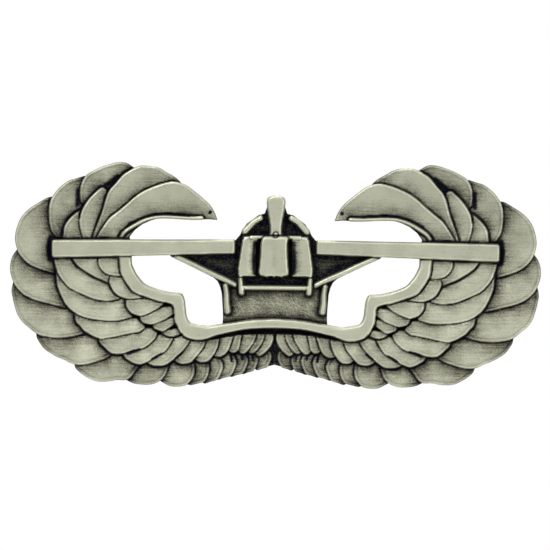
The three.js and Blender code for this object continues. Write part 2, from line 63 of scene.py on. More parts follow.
# ---------------------------------------------------------------- outlines of the left wing
# The free edge of each feather, and the root that lies hidden under its neighbours.
OUTER_ROW: list[tuple[Line, Line]] = [
    ([(-17.0, 12.75), (-18.0, 13.35), (-19.0, 13.4), (-20.0, 13.15), (-21.0, 12.8), (-22.0, 12.3),
      (-22.7, 11.85), (-23.15, 11.2), (-23.45, 10.3), (-23.5, 9.4), (-23.4, 8.6)],
     [(-22.4, 7.6), (-20.6, 9.4), (-18.6, 10.8), (-16.6, 11.9)]),
    ([(-22.9, 11.75), (-24.0, 11.4), (-24.8, 11.15), (-25.6, 10.6), (-26.3, 9.9), (-26.9, 8.95),
      (-27.15, 8.0), (-27.2, 7.0), (-27.1, 6.0), (-26.9, 5.2), (-26.6, 4.7), (-26.3, 4.3)],
     [(-25.2, 3.6), (-22.9, 5.0), (-22.4, 8.0), (-22.2, 10.6)]),
    ([(-26.6, 9.2), (-27.3, 9.1), (-28.1, 8.65), (-29.0, 8.1), (-29.9, 7.4), (-30.6, 6.5),
      (-31.0, 5.5), (-31.2, 4.5), (-31.15, 3.6), (-30.9, 2.8), (-30.55, 2.15), (-30.0, 1.5),
      (-29.3, 0.98), (-28.4, 0.58), (-27.5, 0.28), (-26.5, 0.0)],
     [(-25.8, 1.0), (-25.8, 4.5), (-26.4, 7.5)]),
    ([(-30.8, 3.0), (-31.4, 2.2), (-31.7, 1.3), (-31.75, 0.3), (-31.5, -0.7), (-31.15, -1.4),
      (-30.7, -2.0), (-30.0, -2.6), (-29.0, -3.1), (-28.0, -3.4), (-27.0, -3.65), (-26.0, -3.9),
      (-25.0, -4.1)],
     [(-25.0, -1.0), (-25.6, 1.6)]),
    ([(-31.3, -0.8), (-31.55, -2.0), (-31.4, -3.0), (-31.15, -4.0), (-30.8, -5.0), (-30.2, -5.85),
      (-29.5, -6.45), (-28.9, -6.95), (-28.2, -7.35), (-27.0, -7.6), (-26.0, -7.7), (-25.0, -7.65),
      (-24.0, -7.48), (-22.6, -7.1)],
     [(-23.0, -4.0), (-25.0, -2.8)]),
    ([(-28.6, -6.6), (-28.5, -7.6), (-28.2, -8.2), (-27.65, -8.95), (-26.9, -9.5), (-26.0, -10.0),
      (-25.1, -10.35), (-24.3, -10.75), (-23.4, -10.88), (-22.4, -10.8), (-21.0, -10.4),
      (-20.2, -10.1), (-19.2, -9.5)],
     [(-19.6, -8.4), (-22.0, -6.4)]),
    ([(-24.0, -10.5), (-23.8, -11.3), (-23.1, -11.95), (-22.3, -12.45), (-21.5, -12.8),
      (-20.5, -12.9), (-19.5, -12.8), (-18.8, -12.67), (-18.0, -12.7), (-17.5, -12.55),
      (-17.0, -12.1), (-16.6, -11.5), (-16.2, -11.1), (-15.5, -10.6)],
     [(-16.0, -9.6), (-19.0, -9.0)]),
    ([(-18.2, -12.4), (-17.0, -13.0), (-16.0, -13.18), (-15.0, -13.2), (-14.2, -13.0),
      (-13.65, -12.7), (-13.2, -12.25), (-12.9, -11.7), (-12.7, -11.0), (-12.6, -10.5)],
     [(-13.4, -9.8), (-15.6, -10.2)]),
    ([(-13.9, -12.6), (-12.7, -13.25), (-12.0, -13.4), (-11.2, -13.37), (-10.5, -13.18),
      (-10.1, -12.75), (-9.7, -12.2), (-9.55, -11.5), (-9.6, -10.5)],
     [(-10.4, -9.8), (-12.2, -10.0)]),
    ([(-10.8, -12.9), (-10.1, -13.2), (-9.3, -13.04), (-8.6, -12.85), (-8.25, -12.6),
      (-8.0, -12.15), (-7.85, -11.65), (-7.8, -11.1), (-7.9, -10.2)],
     [(-8.6, -9.8), (-9.8, -10.3)]),
]
# The last small feathers of the outer row: where each one's lower corner is, and its size.
SMALL_OUTER: list[tuple[float, float, float]] = [
    (-7.0, -12.6, 1.0), (-5.4, -12.12, 1.0), (-3.95, -11.8, 0.93), (-2.65, -11.48, 0.86),
    (-1.0, -11.02, 0.8),
]
SMALL_OUTER_EDGE: Line = [(-1.7, -0.15), (-1.3, -0.4), (-0.6, -0.16), (0.0, 0.0), (0.3, 0.25),
                          (0.62, 0.9), (0.82, 1.5), (0.78, 2.05), (0.45, 2.7)]
SMALL_OUTER_ROOT: Line = [(-0.4, 2.9), (-1.4, 2.2)]
MIDDLE_ROW: list[tuple[Line, Line]] = [
    ([(-20.2, 9.6), (-20.35, 10.15), (-20.9, 10.35), (-21.5, 9.9), (-22.2, 9.2), (-22.8, 8.4),
      (-23.3, 7.45), (-23.5, 6.4), (-23.4, 5.4), (-23.1, 4.3), (-22.8, 3.6)],
     [(-21.6, 3.6), (-21.1, 5.6), (-20.4, 8.0)]),
    ([(-23.6, 7.0), (-23.45, 7.5), (-23.8, 7.4), (-24.3, 7.0), (-24.9, 6.35), (-25.3, 5.65),
      (-25.4, 5.0), (-25.5, 4.15), (-25.5, 3.4)],
     [(-23.0, 3.4), (-23.2, 5.4)]),
    ([(-26.6, 2.6), (-26.45, 1.4), (-26.15, 0.4), (-25.75, -0.4), (-25.2, -1.1), (-24.5, -1.75),
      (-23.5, -2.25), (-22.6, -2.65), (-21.7, -3.0), (-20.7, -3.18), (-19.8, -3.2),
      (-18.6, -3.0)],
     [(-18.6, -1.2), (-20.5, 0.4), (-22.6, 2.8)]),
    ([(-26.3, 0.5), (-26.2, -0.6), (-26.1, -1.35), (-25.8, -2.2), (-25.4, -3.05), (-24.9, -3.85),
      (-24.2, -4.5), (-23.3, -5.0), (-22.4, -5.3), (-21.2, -5.5), (-20.0, -5.6), (-19.0, -5.6),
      (-18.2, -5.45), (-17.0, -5.1)],
     [(-17.2, -3.4), (-19.0, -2.4), (-23.0, -1.4)]),
    ([(-24.0, -4.7), (-23.8, -5.7), (-23.3, -6.25), (-22.8, -6.8), (-22.2, -7.2), (-21.5, -7.55),
      (-20.7, -7.76), (-20.0, -7.66), (-19.0, -7.48), (-18.0, -7.25), (-17.0, -7.04),
      (-16.2, -6.88), (-15.5, -6.4)],
     [(-15.8, -5.4), (-18.0, -4.9), (-21.0, -4.6)]),
    ([(-21.15, -7.4), (-20.9, -8.25), (-20.4, -8.72), (-19.9, -9.2), (-19.4, -9.5),
      (-18.8, -9.57), (-18.2, -9.5), (-17.6, -9.3), (-17.0, -9.08), (-16.0, -8.92),
      (-15.3, -8.6), (-14.8, -8.18), (-14.3, -7.65), (-14.0, -7.0)],
     [(-14.4, -6.4), (-16.2, -6.3), (-18.8, -7.0)]),
    ([(-18.3, -9.2), (-17.9, -9.97), (-17.4, -10.32), (-16.9, -10.6), (-16.2, -10.78),
      (-15.6, -10.65), (-15.0, -10.33), (-14.6, -10.0), (-13.9, -9.6), (-13.2, -9.26),
      (-12.8, -8.8), (-12.5, -8.3), (-12.1, -7.6)],
     [(-12.4, -6.9), (-14.2, -7.2), (-16.2, -8.6)]),
    ([(-15.6, -10.3), (-14.8, -10.8), (-14.0, -10.93), (-13.2, -10.86), (-12.6, -10.55),
      (-12.1, -10.17), (-11.7, -9.77), (-11.2, -9.4), (-10.8, -8.9), (-10.35, -8.28),
      (-9.95, -7.5)],
     [(-10.4, -6.9), (-12.3, -7.6), (-13.8, -9.2)]),
    ([(-12.3, -10.0), (-11.5, -10.55), (-10.8, -10.65), (-10.1, -10.52), (-9.7, -10.2),
      (-9.35, -9.75), (-8.9, -9.2), (-8.5, -8.62), (-8.1, -7.6)],
     [(-8.4, -7.0), (-10.1, -7.6), (-11.2, -9.0)]),
    ([(-9.8, -9.9), (-9.0, -10.4), (-8.4, -10.42), (-7.9, -10.28), (-7.5, -9.85), (-7.15, -9.33),
      (-6.9, -8.8), (-6.7, -8.15), (-6.55, -7.1)],
     [(-7.0, -6.7), (-8.2, -7.4), (-9.0, -8.8)]),
    ([(-7.4, -9.6), (-6.7, -9.8), (-6.05, -9.55), (-5.65, -9.15), (-5.4, -8.62), (-5.2, -8.0),
      (-5.0, -7.45), (-4.85, -6.7)],
     [(-5.4, -6.4), (-6.6, -7.2), (-7.1, -8.6)]),
    ([(-5.7, -8.9), (-5.2, -9.25), (-4.7, -9.25), (-4.35, -8.95), (-4.2, -8.5), (-4.05, -7.7),
      (-3.9, -7.1), (-3.85, -6.4)],
     [(-4.9, -6.3), (-5.3, -7.5)]),
    ([(-4.5, -8.8), (-4.1, -9.3), (-3.6, -9.35), (-3.2, -9.0), (-2.85, -8.5), (-2.5, -8.0),
      (-2.3, -7.5), (-2.2, -7.0), (-2.2, -6.2)],
     [(-3.9, -6.2), (-4.3, -7.6)]),
    ([(-3.3, -9.0), (-2.9, -9.3), (-2.4, -9.2), (-2.0, -8.8), (-1.65, -8.3), (-1.38, -7.8),
      (-1.22, -7.2), (-1.1, -6.2)],
     [(-2.4, -6.1), (-2.8, -7.4)]),
    ([(-2.3, -9.1), (-2.1, -9.5), (-1.7, -9.6), (-1.2, -9.25), (-0.65, -8.7), (-0.3, -8.15),
      (-0.12, -7.5), (-0.2, -6.9), (-0.3, -6.1)],
     [(-1.2, -6.0), (-1.6, -7.6)]),
]
INNER_ROW: list[tuple[Line, Line]] = [
    ([(-21.2, 2.5), (-21.2, 1.3), (-20.9, 0.65), (-20.4, 0.15), (-19.9, -0.08), (-19.2, -0.2),
      (-18.0, -0.35)],
     [(-17.9, 1.6), (-18.0, 2.8)]),
    ([(-19.75, -0.1), (-19.85, -0.95), (-19.6, -1.6), (-19.2, -2.2), (-18.7, -2.6),
      (-18.1, -2.85), (-17.3, -2.95), (-15.8, -2.8)],
     [(-16.4, -2.0), (-18.0, -0.4)]),
    ([(-24.7, 2.4), (-23.9, 1.2), (-23.2, 0.6), (-22.4, 0.1), (-21.6, -0.36), (-20.8, -0.7),
      (-20.0, -1.05), (-19.0, -1.3)],
     [(-18.2, 0.4), (-19.6, 2.8)]),
    ([(-17.9, -2.9), (-17.8, -3.8), (-17.4, -4.4), (-16.9, -4.8), (-16.2, -4.97), (-15.4, -4.77),
      (-14.6, -4.4), (-13.9, -4.0), (-13.2, -3.5)],
     [(-13.6, -2.9), (-16.0, -2.5)]),
    ([(-16.3, -4.9), (-16.0, -5.55), (-15.5, -5.9), (-14.8, -6.0), (-14.35, -5.87),
      (-13.65, -5.6), (-13.0, -5.3), (-12.0, -4.7)],
     [(-12.0, -3.7), (-13.4, -3.8), (-15.0, -4.4)]),
    ([(-14.7, -5.9), (-14.5, -6.4), (-14.0, -6.68), (-13.4, -6.78), (-12.75, -6.48),
      (-12.2, -6.1), (-11.8, -5.8)],
     [(-11.9, -5.0), (-13.2, -5.3)]),
    ([(-13.8, -6.7), (-13.2, -7.2), (-12.6, -7.4), (-12.0, -7.38), (-11.5, -7.22), (-10.9, -6.9)],
     [(-11.4, -6.3), (-12.6, -6.5)]),
]
# The two long pinions that curl in over the glider: the lower one first.
PINIONS: list[tuple[Line, Line]] = [
    ([(-11.2, 10.8), (-12.0, 11.6), (-13.0, 12.18), (-14.0, 12.76), (-15.0, 12.97),
      (-16.25, 13.0), (-17.05, 12.7), (-17.85, 12.25), (-18.45, 11.8), (-19.25, 10.85),
      (-20.0, 10.0), (-20.35, 9.1), (-20.75, 7.7), (-21.2, 6.4), (-21.65, 5.2), (-22.0, 4.0)],
     [(-20.6, 3.6), (-19.6, 5.4), (-17.5, 8.0), (-14.5, 10.0)]),
    ([(-7.0, 6.6), (-7.4, 7.6), (-8.0, 8.5), (-9.0, 9.4), (-10.0, 10.2), (-11.0, 10.85),
      (-12.2, 11.12), (-13.2, 11.0), (-14.2, 10.7), (-15.1, 10.35), (-16.1, 9.85), (-17.0, 9.2),
      (-18.0, 8.3), (-19.0, 7.45), (-19.9, 6.7), (-20.5, 5.9), (-21.3, 4.6), (-21.6, 3.8)],
     [(-17.4, 3.8), (-17.5, 4.5), (-16.9, 5.3), (-16.0, 6.0), (-15.0, 6.45), (-14.0, 6.75),
      (-13.0, 6.8), (-11.7, 6.65), (-10.0, 6.6), (-8.0, 6.68)]),
]
PINION_LIP: Line = [(-18.5, 4.4), (-18.1, 5.0), (-17.3, 5.6), (-16.0, 6.35), (-15.0, 6.72),
                    (-14.0, 6.9), (-13.0, 6.92), (-11.5, 6.85), (-10.0, 6.78), (-8.9, 6.8)]

BAND_OUTER: Line = [(-18.85, 2.8), (-18.65, 1.4), (-18.5, 0.3), (-18.2, -0.4), (-17.8, -1.05),
                    (-17.4, -1.6), (-17.0, -2.05), (-16.2, -2.42), (-15.0, -2.85), (-14.0, -3.15),
                    (-13.0, -3.4), (-12.4, -3.6), (-12.1, -3.95), (-12.08, -4.65), (-12.0, -5.3),
                    (-11.8, -6.0), (-11.5, -6.5), (-11.2, -6.95), (-10.8, -7.33), (-10.2, -7.6),
                    (-9.5, -7.77), (-8.7, -7.76), (-8.0, -7.6), (-7.0, -7.25), (-6.0, -7.0),
                    (-5.0, -6.78), (-4.0, -6.55), (-3.0, -6.42), (-1.5, -6.32), (0.0, -6.3)]
BAND_INNER: Line = [(-17.25, 2.8), (-17.2, 1.4), (-17.0, 0.8), (-16.65, 0.1), (-16.2, -0.5),
                    (-15.7, -1.03), (-15.0, -1.4), (-14.0, -1.75), (-13.0, -2.0), (-12.2, -2.12),
                    (-11.3, -2.2), (-11.0, -2.5), (-10.8, -3.1), (-10.7, -3.9), (-10.6, -4.75),
                    (-10.4, -5.35), (-10.1, -5.72), (-9.5, -5.88), (-9.0, -5.98), (-8.0, -6.08),
                    (-7.2, -5.96), (-6.3, -5.8), (-5.0, -5.6), (-4.0, -5.43), (-3.0, -5.29),
                    (-2.0, -5.2), (0.0, -5.1)]

WING_GROUND: Line = [
    (-8.5, 8.2), (-12.0, 10.6), (-15.5, 12.3), (-18.5, 12.6), (-21.5, 11.6), (-23.0, 10.6),
    (-24.8, 10.2), (-26.2, 8.8), (-28.8, 7.4), (-30.4, 5.0), (-30.2, 2.4), (-31.0, 0.0),
    (-30.8, -3.0), (-29.0, -6.0), (-27.3, -8.3), (-24.0, -10.1), (-21.5, -12.1), (-18.0, -12.0),
    (-14.0, -12.4), (-10.0, -12.3), (-5.0, -11.3), (-0.75, -10.85), (0.2, -10.6), (0.2, -5.9),
    (-6.0, -6.6), (-9.0, -7.4), (-10.8, -6.9), (-11.6, -5.6), (-11.7, -3.9), (-13.0, -3.0),
    (-16.0, -2.1), (-17.4, -0.9), (-17.9, 0.8), (-18.0, 4.4), (-16.8, 6.0), (-14.5, 7.0),
    (-9.0, 7.0),
]
# The sunk ground behind the glider, down to the band.
GLIDER_GROUND: Line = [
    (-13.0, 2.6), (-11.0, 1.45), (-9.0, 0.48), (-8.0, 0.0), (-7.4, -0.3), (-6.9, -0.75),
    (-6.6, -1.4), (-6.4, -2.2), (-6.33, -3.2), (-6.25, -4.2), (-6.2, -6.0), (0.2, -5.9),
    (0.2, 7.9), (-1.1, 8.2), (-1.35, 7.45), (-1.85, 7.3), (-2.0, 7.3), (-3.5, 6.2), (-4.1, 5.3),
    (-4.25, 4.9), (-4.9, 4.1), (-4.9, 2.6),
]
FIELD: Line = [(-6.28, -6.0), (-6.2, -4.8), (-5.5, -4.45), (-5.25, -1.4), (0.2, -1.4),
               (0.2, -6.0)]
MAINPLANE: Line = [(-26.6, 4.06), (-26.8, 3.86), (-26.8, 2.1), (-26.6, 1.91), (-4.97, 2.57),
                   (-4.85, 2.7), (-4.85, 4.2), (-4.97, 4.3)]
HULL_SIDE: Line = [(-2.16, -0.12), (-2.12, 0.5), (-2.14, 2.4), (-2.05, 4.1), (-1.95, 4.66),
                   (-3.2, 4.7), (-3.72, 4.6), (-4.0, 4.25), (-4.2, 3.0), (-4.4, 1.6),
                   (-4.5, 0.9), (-4.46, 0.1), (-4.3, -0.14)]
NOSE: Line = [(-1.3, 4.7), (-1.6, 4.35), (-1.66, 3.0), (-1.69, 2.2), (-1.76, 1.2),
              (-1.84, 0.42), (-1.66, 0.02), (-1.2, -0.08), (-0.9, -0.2), (-0.3, -0.08), (0.0, -0.2)]
FIN: Line = [(-1.1, 4.5), (-0.82, 4.8), (-0.73, 5.3), (-0.76, 6.1), (-0.88, 7.0), (-1.04, 8.0),
             (-1.13, 8.8), (-0.98, 9.32), (-0.5, 9.56), (0.0, 9.6)]
# The shadow that the band throws on the small feathers under it.
BAND_SHADOW: Line = [(-9.0, -7.66), (-6.5, -7.18), (-4.5, -6.8), (-2.5, -6.6), (0.2, -6.52)]
# The glider's rods and narrow strips, each along its middle line.
WHEEL_LEG: Line = [(-5.95, -1.2), (-5.8, -2.2), (-5.78, -3.3), (-5.66, -4.3)]
WING_STRUT: Line = [(-12.3, 2.4), (-10.0, 1.35), (-8.0, 0.4), (-6.0, -0.5), (-4.82, -1.1)]
TAIL_STRUT: Line = [(-1.85, 6.85), (-2.6, 6.4), (-3.2, 5.8), (-3.7, 5.25)]
ROOF_EDGE: Line = [(-3.7, 4.5), (-2.8, 4.62), (-1.4, 4.6), (0.0, 4.6)]
SLOT_TOP: Line = [(-2.9, 4.56), (-2.1, 4.6), (-1.3, 4.6)]
SKID_BAR: Line = [(-3.95, -1.45), (0.0, -1.42)]
SKID_END: Line = [(-4.2, 0.3), (-4.16, -0.6), (-4.1, -1.4), (-4.02, -2.02)]


# ---------------------------------------------------------------- the relief
class Form(Enum):
    """How a struck element's surface runs between its edges."""

    FEATHER = "high at its free edge and sinking to its root"
    RAISED = "level, with round shoulders, which meet where it is narrow"
    SUNK = "flat ground"


@dataclass(frozen=True)
class Strike:
    """How deep the die struck one kind of element, in millimetres from the flat back.

    Args:
        form: how the surface runs.
        low: height at the root, or at the foot of a round shoulder.
        high: height at the free edge, or on top.
        shoulder: radius of the edge's round.
        haze: how much patina has stayed on the open surface near what covers it, from 0 to 1.
        reach: how far that haze spreads, in millimetres.
        crease: how wide the solid black line along the covering edges is, in millimetres.
        tone: darkening left all over the element, from 0 to 1: patina, and on SHADOW a painted
            black shadow.
        contour: how dark the fine line just inside the free edge is, from 0 to 1.
    """

    form: Form
    low: float
    high: float
    shoulder: float = 0.25
    haze: float = 0.6
    reach: float = 0.55
    crease: float = 0.3
    tone: float = 0.0
    contour: float = 0.0


GROUND = Strike(Form.SUNK, 0.9, 0.9, tone=0.64)
SHADOW = Strike(Form.SUNK, 0.9, 0.9, tone=1.0)
FIELD_STRIKE = Strike(Form.SUNK, 1.15, 1.15, haze=0.55, reach=0.75, crease=0.2, tone=0.32)
OUTER = Strike(Form.FEATHER, 1.1, 1.72, 0.28, 0.62, 1.1, 0.28, 0.12, 0.18)
MIDDLE = Strike(Form.FEATHER, 1.4, 2.05, 0.24, 0.54, 0.8, 0.22, 0.05, 0.12)
INNER = Strike(Form.FEATHER, 1.65, 2.2, 0.22, 0.56, 0.7, 0.2, 0.04, 0.06)
PINION = Strike(Form.FEATHER, 1.5, 2.25, 0.28, 0.62, 1.2, 0.32, contour=0.1)
LIP = Strike(Form.RAISED, 1.6, 2.0, 0.2)
BAND = Strike(Form.RAISED, 2.1, 2.35, 0.42, 0.3, 0.3, 0.15, contour=0.08)
ROD = Strike(Form.RAISED, 1.75, 2.25, 0.33, 0.4, 0.2, 0.15)
FIN_STRIKE = Strike(Form.RAISED, 2.1, 2.5, 0.3, 0.2, 0.2, 0.06)
ROOF = Strike(Form.RAISED, 2.25, 2.45, 0.3, 0.12, 0.2, 0.04)
HULL = Strike(Form.RAISED, 2.2, 2.45, 0.26, 0.25, 0.3, 0.08, contour=0.1)
FRAME_ROD = Strike(Form.RAISED, 2.2, 2.6, 0.3, 0.3, 0.2, 0.08)
NOSE_STRIKE = Strike(Form.RAISED, 2.35, 2.75, 0.36, 0.3, 0.3, 0.1)
PLANE = Strike(Form.RAISED, 2.38, 2.65, 0.24, 0.4, 0.25, 0.2, 0.08, 0.06)
OVERHANG = 0.08  # how much further a higher row's dark line reaches than a neighbour's
SPAN = 4.0  # a feather this long, in millimetres, sinks from its full height to its low one
SLOPE_POWER = 0.75  # below 1, a feather sinks faster near its root
GROOVE_DEPTH, GROOVE_WIDTH = 0.12, 0.16  # the cut where a feather goes under its neighbour
EDGE_DROP = 0.1  # how far a feather's free edge is rounded down
CONTOUR_INSET, CONTOUR_WIDTH = 0.36, 0.11  # the fine line inside a free edge
CREASE_END = 1.9  # the dark line has gone at so many times half its width
CREASE_WAVE = 0.3  # how much that width wavers
WAVES = ((1.3, 2.1), (2.3, -0.7))  # how fast it wavers across and up, in radians to a millimetre
WEAR_WIDTH = 0.22  # how far in from an edge the metal is rubbed bright
BELL_REACH = 2.5  # a bell curve is followed to so many times its width


def smooth(points: Line, per_span: int = 5) -> np.ndarray:
    """A smooth line through given points.

    Args:
        points: the points, in order.
        per_span: how many steps each span gets.

    Returns:
        The line's points, one per row.
    """
    p = np.asarray(points, float)
    padded = np.vstack([2 * p[0] - p[1], p, 2 * p[-1] - p[-2]])
    t = np.linspace(0.0, 1.0, per_span, endpoint=False)[:, None]
    spans = [
        0.5 * (2 * b + (c - a) * t + (2 * a - 5 * b + 4 * c - d) * t**2
               + (3 * b - a - 3 * c + d) * t**3)
        for a, b, c, d in zip(padded[:-3], padded[1:-2], padded[2:-1], padded[3:])
    ]
    return np.vstack([*spans, p[-1:]])


def nearest(spots: np.ndarray, a: np.ndarray, b: np.ndarray) -> tuple[np.ndarray, np.ndarray]:
    """Finds where on one straight piece each spot comes nearest.

    Args:
        spots: the spots, one per row.
        a: where the piece starts.
        b: where it ends.

    Returns:
        How far along the piece, as a share of it, and how near, for each spot.
    """
    run = b - a
    share = np.clip(((spots - a) @ run) / max(float(run @ run), 1e-12), 0.0, 1.0)
    off = spots - a - share[:, None] * run
    return share, np.sqrt((off * off).sum(axis=1))


def distance(spots: np.ndarray, line: np.ndarray) -> np.ndarray:
    """How far each spot is from a line of straight pieces.

    Args:
        spots: the spots, one per row.
        line: the line's points, one per row.

    Returns:
        One distance per spot.
    """
    best = np.full(len(spots), np.inf)
    for a, b in zip(line[:-1], line[1:]):
        best = np.minimum(best, nearest(spots, a, b)[1])
    return best


def inside(spots: np.ndarray, starts: np.ndarray, ends: np.ndarray) -> np.ndarray:
    """Whether each spot is inside closed outlines.

    Args:
        spots: the spots, one per row.
        starts: where each straight piece of the outlines starts.
        ends: where each one ends.

    Returns:
        One truth value per spot.
    """
    x, z = spots[:, 0], spots[:, 1]
    hit = np.zeros(len(spots), bool)
    for (ax, az), (bx, bz) in zip(starts, ends):
        if az != bz:
            crossing = ax + (z - az) * (bx - ax) / (bz - az)
            hit ^= ((az > z) != (bz > z)) & (x < crossing)
    return hit


def round_shoulder(depth: np.ndarray, radius: float) -> np.ndarray:
    """A quarter round: 1 at an edge, falling to 0 at a radius from it."""
    return 1.0 - np.sqrt(np.clip(1.0 - (1.0 - np.clip(depth / radius, 0.0, 1.0)) ** 2, 0.0, 1.0))


def blurred(grid: np.ndarray, steps: float) -> np.ndarray:
    """Eases a grid by a bell curve, with its edges held.

    Args:
        grid: the values.
        steps: the bell's width in grid steps.

    Returns:
        The eased values.
    """
    reach = math.ceil(BELL_REACH * steps)
    bell = np.exp(-0.5 * (np.arange(-reach, reach + 1) / steps) ** 2)
    bell /= bell.sum()
    for axis in (0, 1):
        padding = [(reach, reach) if k == axis else (0, 0) for k in (0, 1)]
        padded = np.pad(grid, padding, mode="edge")
        length = grid.shape[axis]
        grid = sum(
            weight * padded.take(range(k, k + length), axis=axis) for k, weight in enumerate(bell)
        )
    return grid


@dataclass
class Element:
    """One struck element: an outline or a rod along a line, and its strike.

    Args:
        strike: its heights and patina.
        edge: its free edge, smoothed; for a rod, its middle line.
        root: the straight points that close the outline.
        width: a rod's width where it starts, or 0 for an outline.
        taper: how much wider it is where it ends.
        sharp: whether the edge's own points are corners.
        free: the free edge's points, worked out from the edge.
        ring: the whole outline's points, worked out from the edge and the root.
    """

    strike: Strike
    edge: Line
    root: Line = ()
    width: float = 0.0
    taper: float = 0.0
    sharp: bool = False
    free: np.ndarray = field(init=False)
    ring: np.ndarray = field(init=False)

    def __post_init__(self) -> None:
        """Smooths the free edge and closes the outline."""
        self.free = np.asarray(self.edge, float) if self.sharp else smooth(self.edge)
        root = np.asarray(self.root, float).reshape(-1, 2)
        self.ring = np.vstack([self.free, root])

    def box(self, margin: float) -> tuple[np.ndarray, np.ndarray]:
        """The outline's box, grown by a margin."""
        grow = margin + (self.width + max(self.taper, 0.0)) / 2
        return self.ring.min(axis=0) - grow, self.ring.max(axis=0) + grow

    def depth(self, spots: np.ndarray) -> np.ndarray:
        """How far inside the element each spot is; negative outside.

        Args:
            spots: the spots, one per row.

        Returns:
            One signed distance per spot.
        """
        if self.width:
            return self.rod_depth(spots)
        closed = np.vstack([self.ring, self.ring[:1]])
        away = distance(spots, closed)
        return np.where(inside(spots, closed[:-1], closed[1:]), away, -away)

    def rod_depth(self, spots: np.ndarray) -> np.ndarray:
        """How far inside a tapering rod each spot is.

        Args:
            spots: the spots, one per row.

        Returns:
            One signed distance per spot.
        """
        runs = np.linalg.norm(np.diff(self.free, axis=0), axis=1)
        ends = np.concatenate([[0.0], np.cumsum(runs)]) / runs.sum()
        best = np.full(len(spots), -np.inf)
        for k in range(len(runs)):
            share, away = nearest(spots, self.free[k], self.free[k + 1])
            along = ends[k] + (ends[k + 1] - ends[k]) * share
            best = np.maximum(best, (self.width + self.taper * along) / 2 - away)
        return best

    def from_edge(self, spots: np.ndarray, depth: np.ndarray) -> np.ndarray:
        """How far each spot is from the free edge; for other forms, from any edge.

        Args:
            spots: the spots, one per row.
            depth: how far inside the element each one is.

        Returns:
            One distance per spot.
        """
        if self.strike.form is Form.FEATHER:
            return distance(spots, self.free)
        return np.abs(depth)

    def height(self, edge: np.ndarray, above: np.ndarray, blur: float) -> np.ndarray:
        """The surface's height over a window of the grid.

        Args:
            edge: distance of each spot from the free edge.
            above: distance of each spot from whatever covers this element.
            blur: how many grid steps a feather's slope is eased over.

        Returns:
            One height per spot.
        """
        s = self.strike
        if s.form is Form.SUNK:
            return np.full(edge.shape, s.low)
        if s.form is not Form.FEATHER:
            return s.high - (s.high - s.low) * round_shoulder(edge, s.shoulder)
        across = edge + above + 1e-6
        slope = 1.0 - (above / across) ** SLOPE_POWER
        sunk = blurred(slope * np.minimum(across / SPAN, 1.0), blur)
        groove = GROOVE_DEPTH * np.exp(-((above / GROOVE_WIDTH) ** 2))
        drop = EDGE_DROP * round_shoulder(edge, s.shoulder)
        return s.high - (s.high - s.low) * sunk - groove - drop

    def patina(self, edge: np.ndarray, above: np.ndarray, wave: np.ndarray) -> np.ndarray:
        """How dark the element is: patina, and on the SHADOW strike a painted shadow.

        Args:
            edge: distance of each spot from the free edge.
            above: distance of each spot from whatever covers this element.
            wave: a slow variation from -1 to 1, which the dark line's width follows.

        Returns:
            One share per spot, from clean at 0 to black at 1.
        """
        s = self.strike
        half = 0.5 * s.crease * (1.0 + CREASE_WAVE * wave)
        crease = np.clip(CREASE_END - above / half, 0.0, 1.0)
        haze = s.haze * np.exp(-above / s.reach)
        contour = s.contour * np.exp(-(((edge - CONTOUR_INSET) / CONTOUR_WIDTH) ** 2))
        return np.clip(np.maximum(crease, haze) + s.tone + contour, 0.0, 1.0)


def mirrored(line: Line) -> Line:
    """The same points on the other side of the middle, in order from the middle outwards."""
    return [(-x, z) for x, z in reversed(line)]


